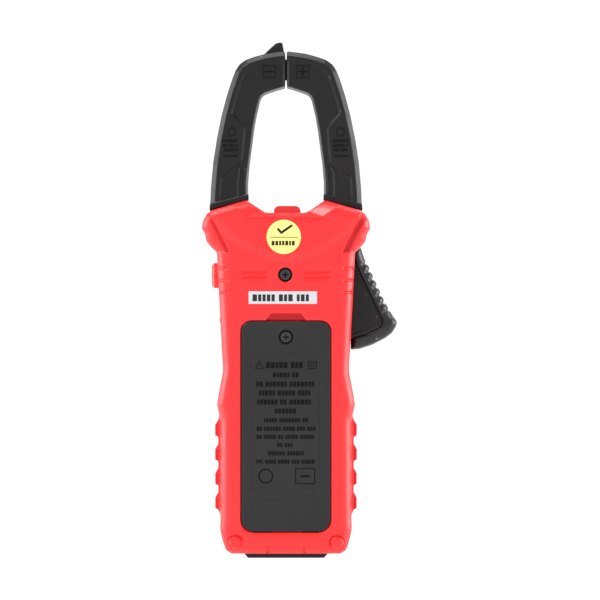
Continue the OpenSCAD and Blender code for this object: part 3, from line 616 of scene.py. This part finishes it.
def rear_case():
    g = Grid((-36, 36), (-16.4, 0.7), (0.6, 150), 0.3)
    solid = case_field(g, rear_depth)
    cut_jaw_room(solid)
    pad = np.maximum(rect(g, -21, 21, 8.5, 101, 6), polygon(g, OUTLINE) + 1.6)
    solid.add(pad, -12.5, -10.8, 0.2, 0.3)
    solid.add(rect(g, -17, 17, 28.5, 85.5, 0.8), -12.4, 0, 0.1, 0.3)
    solid.add(disc(g, *PIVOT, 4.5), -13, -8.4, 0.2, 0.5)
    solid.add(disc(g, *CASE_SCREW, 3.4), -13, -1.5, 0.2, 0.5)
    solid.add(disc(g, *COVER_SCREW, 3.5), -12, -4.5, 0.2, 0.5)
    door = smax(rect(g, -18.9, 18.9, 10.7, 98.8, 4.6), rect(g, -18.9, 18.9, 10.7, 130, 5.3), 0.05)
    solid.cut(door, -20, -12.5, 0.05, 0.25)
    solid.cut(rect(g, -15.5, 15.5, 30, 84, 0.5), -15, -1.3, 0.3, 0.3)
    notch = [(-8.4, 96), (8.4, 96), (8.4, 98.8), (6.2, 101.7), (-6.2, 101.7), (-8.4, 98.8)]
    solid.cut(soften(polygon(g, notch), 0.2, g.step), -20, -13.1, 0.1, 0.25)
    solid.cut(disc(g, *CASE_SCREW, 3.05), -20, -12.6, 0.1, 0.3)
    solid.cut(disc(g, *COVER_SCREW, 2.3), -14, -5.5, 0.1, 0.2)
    solid.cut(disc(g, *PIVOT, 2.02), -12, 1, 0.1, 0.2)
    for s in (-1, 1):
        boss, dimple = (s * BOSS[0], BOSS[1]), (s * BASE_DIMPLE[0], BASE_DIMPLE[1])
        solid.add(disc(g, *boss, 1.5), -8, -1.2, 0.1, 0.2)
        solid.cut(disc(g, *boss, 2.7), -14, -8, 0.1, 0.2)
        solid.cut(disc(g, *dimple, 3.3), -18, -REAR_Y + 1.1, 0.1, 0.3)
        solid.add(disc(g, *dimple, 2.6), -REAR_Y + 0.1, -12, 0.9, 0.2)
        solid.cut(rect(g, 10 * s - 3.4, 10 * s + 3.4, 8.9, 13.6, 0.5), -12.6, -10, 0.2, 0.3)
        for z in (116.7, 118.9):
            line = rect(g, 13.1 * s - 5.8, 13.1 * s + 5.8, z - 0.5, z + 0.5, 0.2)
            solid.cut(line, -18, -REAR_Y + 0.7, 0.1, 0.2)
    score_small_grooves(solid)
    solid.cut(rect(g, -BLOCK_HALF, BLOCK_HALF, -4, 6), -8.3, 3, 0.1, 0.3)
    solid.cut(rect(g, *LENS_SLOT), -4.7, 3, 0.1, 0.3)
    piece = to_mesh(solid, "rear_shell", flat=0.012)
    piece.data.materials.append(RED)
    # Paints shade on the teeth, finger notch and side bands of the rear shell.
    paint_shade(piece, notch)
    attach(piece, "case")
    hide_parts("rear_case")


def paint_shade(piece, notch=None):
    """Paints shade in a darker red on the grip teeth, finger notch and side bands.

    Also paints the seat behind the front panel black, as shade."""
    mesh = piece.data
    mesh.materials.append(SHADE_RED)
    mesh.materials.append(BLACK_AND_SHADE)
    centre = np.empty(len(mesh.polygons) * 3)
    mesh.polygons.foreach_get("center", centre)
    x, y, z = centre.reshape(-1, 3).T / MM
    # Painted shade on the set-back faces of the grip teeth.
    deep = (np.abs(x) > 28.2) & (z > 19) & (z < 58) & (np.abs(y) < 8.8)
    # Painted shade: the case floor behind the front panel, seen through the gaps round the panel and keys, is
    # painted black.
    seat_shade = (np.abs(x) < 22.9) & (z > 20.1) & (z < 69.0) & (y > 8) & (y < 14.2)
    if notch:
        at = types.SimpleNamespace(x=x[:, None], z=z[:, None])
        beyond, width = side_band(at)
        # Painted shade on the floor of the finger notch and on the sunk side bands.
        deep |= (polygon(at, notch) < -0.05)[:, 0] & (y > -14.3) & (y < -12.9)
        in_band = ((beyond > 0) & (beyond < width + 0.05))[:, 0]
        deep |= in_band & (z > BAND_Z + 0.3) & (z < 143.6) & (y < -10)
    mesh.polygons.foreach_set("material_index", np.where(seat_shade, 2, deep).astype(np.int32))


def front_depth(g):
    """How far the front face stands from the parting plane."""
    slope_top = np.clip(g.z - 139.5, 0, 10) * 0.35
    slope_bottom = np.clip(8 - g.z, 0, 8) * 0.55
    return FRONT_Y - slope_top - slope_bottom


def front_case():
    g = Grid((-36, 36), (-15.2, 0.7), (0.6, 150), 0.34)
    solid = case_field(g, front_depth)
    cut_jaw_room(solid)
    floor = np.maximum(disc(g, 0, KNOB_Z, 30), polygon(g, OUTLINE) + 1)
    solid.add(floor, -12.6, -10.8, 0.2, 0.3)
    solid.add(disc(g, *PIVOT, 3.4), -12.6, -6.6, 0.2, 0.4)
    solid.cut(disc(g, 0, KNOB_Z, KNOB_R + 0.5), -20, -12.4, 0.1, 0.3)
    solid.cut(disc(g, 0, KNOB_Z, 6), -13, -10, 0.1, 0.2)
    solid.cut(rect(g, -23.1, 23.1, 19.9, 69.1, 4.1), -20, -13.6, 0.1, 0.3)
    solid.cut(rect(g, -18, 18, 29, 51, 0.6), -16, -9, 0.2, 0.3)
    for x in KEY_X:
        solid.cut(rect(g, x - 4.6, x + 4.6, KEY_Z - 3.6, KEY_Z + 3.6, 0.8), -16, -9, 0.2, 0.2)
    solid.cut(rect(g, -BLOCK_HALF, BLOCK_HALF, -4, 6), -11.3, 3, 0.1, 0.3)
    solid.cut(rect(g, *LENS_SLOT), -4.7, 3, 0.1, 0.3)
    for s in (-1, 1):
        solid.add(disc(g, s * BOSS[0], BOSS[1], 3), -11, -0.2, 0.1, 0.3)
        for k in range(4):
            foot = TOOTH_Z + TOOTH_PITCH * k
            grip = rect(g, 25.6 * s - 1.6, 25.6 * s + 1.6, foot + 0.7, foot + 3.9, 1.2)
            solid.cut(grip, -18, -13.6, 0.4, 0.6)
    piece = to_mesh(solid, "front_shell", mirror=(1, -1, 1), flat=0.004)
    piece.data.materials.append(RED)
    # Paints shade on the teeth, and black on the seat behind the front panel.
    paint_shade(piece)
    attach(piece, "case")
    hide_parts("front_case")


# ---------------------------------------------------------------- jaws


def jaw_field(g):
    """Rear half of the right jaw, hollow, with bevels, a raised band and sunk panels."""
    outline = JAW_OUT + JAW_IN[::-1]
    d_all = soften(polygon(g, outline), 0.35, g.step)
    d_out = polyline(g, [(31.5, 130)] + JAW_OUT)
    d_in = polyline(g, [(15.75, 130)] + JAW_IN)
    depth = JAW_Y - np.clip(2.0 - d_out, 0, 2) * 0.95
    raised = [(18.3, 165.2), (19.6, 164.5), (26.4, 158.8), (40, 150)]
    raised += [(40, 191), (23.1, 185.6), (19.2, 181.4), (17.3, 178.6)]
    raised = soften(polygon(g, raised), 0.3, g.step)
    upper = biggest(3.9 - d_out, 0.9 - g.x, 162 - g.z, -raised)
    lower = biggest(4.0 - d_out, g.z - 166, -raised, 4.3 - d_in)
    strip = biggest(1.9 - d_in, d_in - 3.6, g.z - 178.2, 146 - g.z)
    sunk = np.minimum(np.minimum(upper, lower), strip)
    depth = depth - 0.75 * np.clip(0.5 - sunk / 0.6, 0, 1)
    draft = np.clip(-g.y / JAW_Y, 0, 1)
    near = (d_in < 3)[:, None, :]
    inner_wall = (0.9 * draft - d_in[:, None, :]) * near - 3 * ~near
    outer = rounded_and(np.maximum(d_all[:, None, :], inner_wall), -(g.y + depth[:, None, :]), 0.45)
    solid = Solid(g, np.maximum(outer, g.y))
    collar = soften(polygon(g, [(31.9, 144.6), (31.75, 147.2), (15.6, 151.4), (15.6, 148.8)]), 0.2, g.step)
    solid.add(collar, -JAW_Y - 0.45, 0, 0.35, 0.3)
    solid.f = np.maximum(solid.f, g.y)
    solid.cut(d_all + 1.8, 1.8 - JAW_Y, 3, 0.4, 0.3)
    solid.cut(rect(g, -1, 3, 200, 206.6, 0.1), -3.55, 3, 0.1, 0.15)
    solid.cut(polygon(g, [(-2, 208.3), (0.25, 208.3), (0.5, 212), (-2, 212)]), -12, 3, 0.05, 0.1)
    solid.cut(polygon(g, [(-2, 198.8), (0.25, 198.8), (0.5, 195), (-2, 195)]), -12, 3, 0.05, 0.1)
    return solid


def moving_half(front):
    """The rear or front shell of the moving jaw, with its hub and the arm inside the trigger's rim."""
    g = Grid((-0.6, 48), (-9.0, 0.6), (84, 212.5), 0.27)
    solid = jaw_field(g)
    hub = 6.2 if front else 7.8
    neck = polygon(g, [(16, 135), (31.5, 135), (31.6, 143), (15.75, 145)])
    solid.add(neck, -6.2, 0, 0.3, 0.8)
    panel = polygon(g, PANEL + ARM_BACK)
    shoulder = polygon(g, [(17, 131), (31.2, 133), (28.4, 128), (22.5, 127)])
    solid.add(soften(np.minimum(panel, shoulder), 0.2, g.step), -ARM_Y, 0, 0.4, 0.5)
    solid.add(disc(g, *PIVOT, 7.8), -hub, 0, 0.4, 0.4)
    solid.f = np.maximum(solid.f, g.y)
    solid.cut(disc(g, *PIVOT, 2.05), -9, 2, 0.1, 0.15)
    bead = np.abs(panel + 1.3) - 0.25
    solid.add(biggest(bead, 28.5 - g.x, g.z - 123), -ARM_Y - 0.25, -ARM_Y + 0.1, 0.1, 0.1)
    solid.cut(panel + 1.8, 1.6 - ARM_Y, 3, 0.3, 0.3)
    if front:
        solid.cut(rect(g, -2, 1.45, 198, 208.6), -6.4, -4.4, 0.05, 0.05)
    name = "moving_jaw_front" if front else "moving_jaw_rear"
    piece = to_mesh(solid, name + "_shell", mirror=(1, -1 if front else 1, 1), flat=0.004)
    piece.data.materials.append(JAW)
    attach(piece, "moving_jaw")
    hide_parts(name)


def fixed_half(front):
    """The rear or front shell of the fixed jaw, with its root in the case and its pointed tip."""
    g = Grid((-1.8, 34.5), (-9.0, 0.6), (137, 216), 0.27)
    solid = jaw_field(g)
    tip = [(9.6, 209.2), (8.4, 210.6), (4.3, 214.35), (2.6, 214.75), (1.5, 214.65)]
    tip += [(0.7, 210.2), (0.7, 208.6)]
    solid.add(soften(polygon(g, tip), 0.3, g.step), -5.5 if front else -3, 0, 0.5, 0.3)
    root = polygon(g, [(31.2, 138.2), (16, 138.2), (15.75, 144.5), (31.6, 142.5)])
    solid.add(root, -JAW_Y, 0, 0.2, 0.3)
    solid.f = np.maximum(solid.f, g.y)
    solid.cut(rect(g, 17.2, 30, 136, 146), -6.2, 3, 0.2, 0.3)
    if front:
        solid.add(rect(g, -0.98, 1.5, 199.25, 207.75), -5.95, -4.85, 0.05, 0.05)
    name = "fixed_jaw_front" if front else "fixed_jaw_rear"
    piece = to_mesh(solid, name + "_shell", mirror=(-1, -1 if front else 1, 1), flat=0.004)
    piece.data.materials.append(JAW)
    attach(piece, "case")
    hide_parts(name)


def trigger():
    """The trigger's rim, with bumps along its upper edge and a groove between each two."""
    g = Grid((22, 48), (-6.8, 6.8), (85, 131), 0.22)
    outer = soften(polygon(g, TRIGGER + ARM_BACK), 0.4, g.step)
    for k in range(6):
        outer = smin(outer, disc(g, 32.8 + 1.5 * k, 120.4 - 3.3 * k, 1.8), 0.8)
    inner = polygon(g, PANEL + ARM_BACK)
    skin = extrude(outer, g.y, -RIM_Y, RIM_Y, 4.2)
    solid = Solid(g, skin)
    grooves = []
    for k in range(7):
        x, z = 33.2 + 1.5 * k, 122.7 - 3.3 * k
        along = (g.x - x) * 0.909 + (g.z - z) * 0.416
        across = -(g.x - x) * 0.416 + (g.z - z) * 0.909
        grooves.append(biggest(-along - 1.7, along - 3.0, np.abs(across) - 0.35))
    solid.score(np.minimum.reduce(grooves), skin, 0.5, 0.5)
    solid.cut(inner, -9, 9, 0.1, 0.6)
    solid.cut(disc(g, *PIVOT, 7.9), -9, 9, 0.1, 0.2)
    solid.cut(polygon(g, [(15, 128.6), (28.4, 128.6), (31.2, 133.2), (15, 140)]), -9, 9, 0.1, 0.2)
    solid.cut(rect(g, 20, 27.0, 84, 132), -9, 9, 0.1, 0.2)
    piece = to_mesh(solid, "trigger_grip_rim", flat=0.004)
    piece.data.materials.append(GRIP)
    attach(piece, "moving_jaw")
    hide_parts("trigger_grip")


# ---------------------------------------------------------------- battery cover


def battery_cover():
    g = Grid((-19.2, 19.2), (-15.4, -12.3), (10.4, 99.2), 0.17)
    body = smax(rect(g, -18.5, 18.5, 11.1, 98.4, 4.2), rect(g, -18.5, 18.5, 11.1, 130, 5.4), 0.05)
    solid = Solid(g, extrude(body, g.y, -COVER_Y, 2 - COVER_Y, 0.55))
    solid.cut(disc(g, *COVER_SCREW, 3.1), -18, 1.4 - COVER_Y, 0.2, 0.25)
    solid.cut(disc(g, *COVER_SCREW, 1.3), -18, -10, 0.1, 0.1)
    for field in (rect(g, -14, 14, 29, 84.8, 1.2), rect(g, -14, 14, 19.2, 24.4, 0.8)):
        solid.cut(np.abs(field) - 0.2, -18, -14.5, 0.1, 0.1)
    piece = to_mesh(solid, "battery_cover_panel", flat=0.006)
    piece.data.materials.append(COVER_MAT)
    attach(piece, "cover")
    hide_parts("battery_cover")


def cover_print():
    """The rows and outlines moulded on the battery cover, as plain shapes."""
    rows = [(80.3, -8.2, 8.4, 2.5), (76.2, -5.4, 5.6, 2.0), (72.4, -12.4, 12.6, 2.1)]
    rows += [(68.7, -11.2, 11.4, 2.1), (65.0, -12.0, 12.2, 2.1), (61.2, -4.6, 4.8, 2.0)]
    rows += [(57.4, -9.2, 9.4, 1.7), (53.9, -12.2, 12.4, 1.7)]
    rows += [(50.5, -12.2, 12.2, 1.7), (47.1, -3.6, 3.6, 1.7), (43.7, -7.4, 7.6, 1.7)]
    shapes = []
    for i, (z, x0, x1, height) in enumerate(rows):
        shapes += small_print(z, x0, x1, height, 40 + i)
    shapes.append(framed([(-12.9, 78.8), (-9.1, 78.8), (-11.0, 82.1)], 0.55))
    shapes.append(framed(bar(9.2, 12.8, 78.7, 81.9), 0.5))
    shapes.append(framed(bar(10.2, 11.8, 79.6, 81.0), 0.4))
    shapes += [bar(-12.4, -9.6, 39.7 + dz, 40.2 + dz) for dz in (0, 0.8)]
    shapes += small_print(40.2, -8.6, 12.4, 1.6, 61)
    shapes.append(framed(round_outline(-8.4, 34.2, 3.1), 0.6))
    shapes.append(framed(bar(3.8, 12.2, 30.9, 37.6), 0.6))
    shapes.append(bar(6.0, 10.0, 33.7, 34.6))
    add_marks("cover_marks", shapes, -14.78, -14.6, MARK_AND_SHADE, "cover")


def screw_shade_ring(x, z):
    """Painted shade: a dark ring in the gap round a screw head, and a dark floor in its cross slot."""
    ends = [bar(x - 0.26, x + 0.26, z + a, z + b) for a, b in ((-1.26, -0.3), (0.3, 1.26))]
    return [framed(round_outline(x, z, 2.92, 48), 0.73), bar(x - 1.26, x + 1.26, z - 0.26, z + 0.26), *ends]


def rear_prints():
    """The round sticker with its tick and line, the painted shade in the screw wells, and plain blocks on the
    label.
    """
    disc_piece = raised_marks("sticker_disc", [round_outline(*STICKER, 7.1, 72)], -15.57, -15.3, 0.04)
    disc_piece.data.materials.append(YELLOW)
    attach(disc_piece, "case")
    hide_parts("round_sticker")
    tick = [(-3.9, 136.6), (-2.0, 134.5), (3.0, 138.0), (2.4, 138.8), (-1.9, 135.9), (-3.2, 137.3)]
    shapes = [tick, bar(-6.8, 5.0, 133.2, 133.55)] + small_print(130.9, -6.0, 4.6, 2.0, 7)
    add_marks("sticker_print", shapes, -15.6, -15.5, INK, "case")
    # Painted shade in the two screw recesses.
    add_marks("case_screw_shade_ring", screw_shade_ring(*CASE_SCREW), -13.63, -13.2, MARK_AND_SHADE, "case")
    add_marks("cover_screw_shade_ring", screw_shade_ring(*COVER_SCREW), -14.03, -13.8, MARK_AND_SHADE, "cover")
    label = small_print(108.2, -13.9, 10.6, 2.9, 12)
    add_marks("label_print", label, -14.65, -14.55, INK, "case")


def jaw_print(side):
    """Plain moulded marks on the raised band of a jaw, and a polarity sign near its tip."""
    shapes = [framed(round_outline(side * 22.6, 177.3, 1.9), 0.45)]
    for i, z in enumerate((173.6, 171.6, 169.8)):
        x0, x1 = (19.4 + 0.2 * i, 26.4 - 0.2 * i) if side > 0 else (-26.4 + 0.2 * i, -19.4 - 0.2 * i)
        shapes += small_print(z, x0, x1, 1.2, 90 + 5 * i + side)
    shapes.append(bar(20.0, 26.2, 167.0, 167.6) if side > 0 else bar(-26.2, -20.0, 167.0, 167.6))
    body = "moving_jaw" if side > 0 else "case"
    name = "moving_jaw" if side > 0 else "fixed_jaw"
    add_marks(name + "_marks", shapes, -8.1, -7.9, MARK_AND_SHADE, body)
    x, z = 6.9 * side, 202.4
    polarity = [bar(x - 1.7, x + 1.7, z - 0.3, z + 0.3)]
    if side > 0:
        polarity += [bar(x - 0.3, x + 0.3, z + 0.42, z + 1.7), bar(x - 0.3, x + 0.3, z - 1.7, z - 0.42)]
    sign = [framed(bar(x - 2.6, x + 2.6, z - 2.6, z + 2.6), 0.3)] + polarity
    add_marks(name + "_sign", sign, -7.52, -7.3, MARK_AND_SHADE, body)


# ---------------------------------------------------------------- selector


def selector():
    """The ribbed thumb wheel, with a waisted grip bar across its dished face."""
    g = Grid((-28.6, 28.6), (-21.2, -10.2), (70.3, 127.7), 0.27)
    angle = np.arctan2(g.z - KNOB_Z, g.x)
    radius = np.hypot(g.x, g.z - KNOB_Z)
    ridges = radius - KNOB_R + 0.55 * (0.5 - 0.5 * np.cos(36 * angle)) ** 2
    solid = Solid(g, extrude(ridges.astype(np.float32), g.y, -17, -12.8, 0.7))
    solid.cut(np.abs(radius - 19.5) - 5.0, -20, -16.5, 0.3, 0.6)
    grip = rect(g, -3.5, 3.5, KNOB_Z - 22, KNOB_Z + 22, 3.5)
    waist = rect(g, -4.6, 4.6, KNOB_Z - 23.6, KNOB_Z + 23.6, 4.6)
    solid.add(waist, -18.2, -15, 0.8, 1.2)
    solid.add(grip, -20.55, -15, 1.0, 0.8)
    for s in (-1, 1):
        solid.cut(rect(g, 7.0 * s - 3.9, 7.0 * s + 3.9, KNOB_Z - 13, KNOB_Z + 13, 3.8), -22, -18.6, 0.8, 0.8)
    solid.cut(rect(g, -0.95, 0.95, KNOB_Z + 11.9, KNOB_Z + 21.1, 0.9), -22, -20.25, 0.1, 0.15)
    solid.add(disc(g, 0, KNOB_Z, 5.95), -13, -10.5, 0.2, 0.3)
    piece = to_mesh(solid, "selector_wheel", mirror=(1, -1, 1), flat=0.004)
    piece.data.materials.append(KNOB)
    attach(piece, "selector")
    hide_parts("selector_knob")


# ---------------------------------------------------------------- front panel and its prints


def front_panel():
    """The panel round the display, with openings for the window and the keys."""
    g = Grid((-23.5, 23.5), (-15.5, -13.2), (19.5, 69.5), 0.2)
    solid = Solid(g, extrude(rect(g, -23, 23, 20, 69, 4), g.y, -15, -13.6, 0.45))
    window = rect(g, -20, 20, 27, 53, 1.2)
    solid.cut(window, -18, -10, 0.05, 0.5)
    solid.cut(np.abs(window - 1.5) - 0.22, -18, -14.75, 0.1, 0.15)
    for x in KEY_X:
        solid.cut(rect(g, x - 4.55, x + 4.55, KEY_Z - 3.55, KEY_Z + 3.55, 0.6), -18, -10, 0.05, 0.4)
    for z in (22.6, 23.8):
        solid.cut(rect(g, -8, 8, z - 0.28, z + 0.28, 0.28), -18, -14.7, 0.1, 0.15)
    piece = to_mesh(solid, "front_panel_face", mirror=(1, -1, 1), flat=0.004)
    piece.data.materials.append(PANEL_MAT)
    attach(piece, "case")
    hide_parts("front_panel")


def front_prints():
    """A dark border on the display window, marks on the keys and case, and numbers on the selector."""
    border = [(bar(-19.7, 19.7, 27.3, 52.7), bar(-17.4, 17.4, 29.6, 50.4))]
    add_marks("window_border", border, 14.85, 14.75, INK, "case")
    glyphs = {"a": framed(round_outline(-18, KEY_Z, 1.7), 0.45), "b": bar(-7.8, -4.2, 62.2, 62.8)}
    glyphs["c"] = framed([(4.1, 61.2), (7.9, 61.2), (6.0, 64.4)], 0.4)
    glyphs["d"] = framed(bar(16.3, 19.7, 61.1, 63.9), 0.4)
    for key, glyph in glyphs.items():
        body = "key_" + key + "_body"
        add_marks("key_" + key + "_glyph", [glyph], 16.25, 16.15, WHITE_INK, body)
    panel_marks = [bar(x - 3.2, x + 3.2, 56.0, 56.3) for x in KEY_X]
    add_marks("panel_print", panel_marks, 15.04, 14.95, WHITE_INK, "case")
    case_marks = [[(-1.5, 132.2), (0, 129.4), (1.5, 132.2)], framed(bar(-11, 11, 134.6, 137.6), 0.25)]
    case_marks += [framed(round_outline(x, 12.2, 2.3), 0.45) for x in (-9.5, 9.5)]
    case_marks += [bar(-3.6, 3.6, 11.9, 12.5)]
    add_marks("front_print", case_marks, 14.55, 14.4, WHITE_INK, "case")
    numbers, ticks = [], []
    for n in range(1, 8):
        turn = math.radians(10 + 20 * n)
        c, s = math.cos(turn), math.sin(turn)
        numbers += numeral(n, 20.6 * s, KNOB_Z + 20.6 * c, 3.6, turn)
        ticks.append([(u * c + v * s, KNOB_Z - u * s + v * c) for u, v in bar(-0.2, 0.2, 25.2, 27.0)])
    add_marks("selector_numbers", numbers, 16.56, 16.45, WHITE_INK, "selector")
    add_marks("selector_ticks", ticks, 17.04, 16.9, WHITE_INK, "selector")


# ---------------------------------------------------------------- stage


def pale_floor():
    """A round floor whose far rim curves up, so that it stands behind the meter from every side."""
    verts = [(0, 0, FLOOR_Z)]
    profile = [(0.5, 0.0), (1.5, 0.0), (3.0, 0.0), (4.0, 0.0)]
    rim = 1.2
    profile += [(4.0 + rim * math.sin(a), rim - rim * math.cos(a)) for a in np.linspace(0.15, math.pi / 2, 12)]
    steps = 96
    for radius, z in profile:
        turns = [2 * math.pi * i / steps for i in range(steps)]
        verts += [(radius * math.cos(t), radius * math.sin(t), z + FLOOR_Z) for t in turns]
    rings = [list(range(1 + k * steps, 1 + (k + 1) * steps)) for k in range(len(profile))]
    faces = [(0, a, b) for a, b in zip(rings[0], rings[0][1:] + rings[0][:1])]
    for inner, outer in zip(rings, rings[1:]):
        faces += ring_faces(inner, outer)
    mesh = bpy.data.meshes.new("floor")
    mesh.from_pydata(verts, [], faces)
    mesh.shade_smooth()
    floor = bpy.data.objects.new("floor", mesh)
    bpy.context.scene.collection.objects.link(floor)
    m, tree, shader = new_material("pale_floor")
    coords = tree.nodes.new("ShaderNodeTexCoord").outputs["Object"]
    tint = mix_colour(tree, noise(tree, coords, 3, 3), (0.40, 0.40, 0.40, 1), (0.37, 0.37, 0.375, 1))
    link(tree, tint, shader.inputs["Base Color"])
    shader.inputs["Roughness"].default_value = 0.8
    shader.inputs["Emission Color"].default_value = (1, 1, 1, 1)
    shader.inputs["Emission Strength"].default_value = 0.86
    mesh.materials.append(m)


def area_light(name, place, aim, size, power):
    data = bpy.data.lights.new(name, "AREA")
    data.shape = "RECTANGLE"
    data.size, data.size_y = size
    data.energy = power
    o = bpy.data.objects.new(name, data)
    o.location = place
    o.rotation_euler = (Vector(aim) - Vector(place)).to_track_quat("-Z", "Y").to_euler()
    bpy.context.scene.collection.objects.link(o)


def studio():
    world = bpy.data.worlds.new("studio")
    world.use_nodes = True
    world.node_tree.nodes["Background"].inputs[0].default_value = (1, 1, 1, 1)
    world.node_tree.nodes["Background"].inputs[1].default_value = 0.22
    bpy.context.scene.world = world
    middle = (0, 0, 0.12)
    area_light("key_left", (-0.68, -0.60, 1.12), middle, (0.45, 0.45), 18)
    area_light("fill_right", (0.7, -1.1, 0.7), middle, (0.6, 0.8), 2)
    area_light("front_fill", (0.5, 1.1, 0.9), middle, (0.8, 0.8), 9)
    area_light("side_left", (-1.0, 0.05, 0.25), middle, (0.7, 0.9), 14)
    area_light("side_right", (1.0, 0.05, 0.25), middle, (0.7, 0.9), 18)
    area_light("top_strip", (0.0, 0.05, 1.1), middle, (0.9, 0.5), 9)
    bpy.context.scene.view_settings.view_transform = "Standard"


def camera():
    data = bpy.data.cameras.new("camera")
    sensor, distance, in_focus, view_width = 36, 2.5, 0.005, 0.250
    data.sensor_width = sensor
    data.lens = sensor * (distance - in_focus) / view_width
    o = bpy.data.objects.new("camera", data)
    o.location = (0.00583, -distance, 0.1073)
    o.rotation_euler = (math.radians(90), 0, 0)
    bpy.context.scene.collection.objects.link(o)
    bpy.context.scene.camera = o


dress_cad_nodes()
rear_case()
front_case()
for is_front in (False, True):
    moving_half(is_front)
    fixed_half(is_front)
trigger()
battery_cover()
cover_print()
rear_prints()
for side in (-1, 1):
    jaw_print(side)
selector()
front_panel()
front_prints()
pale_floor()
studio()
camera()
bpy.context.view_layer.update()
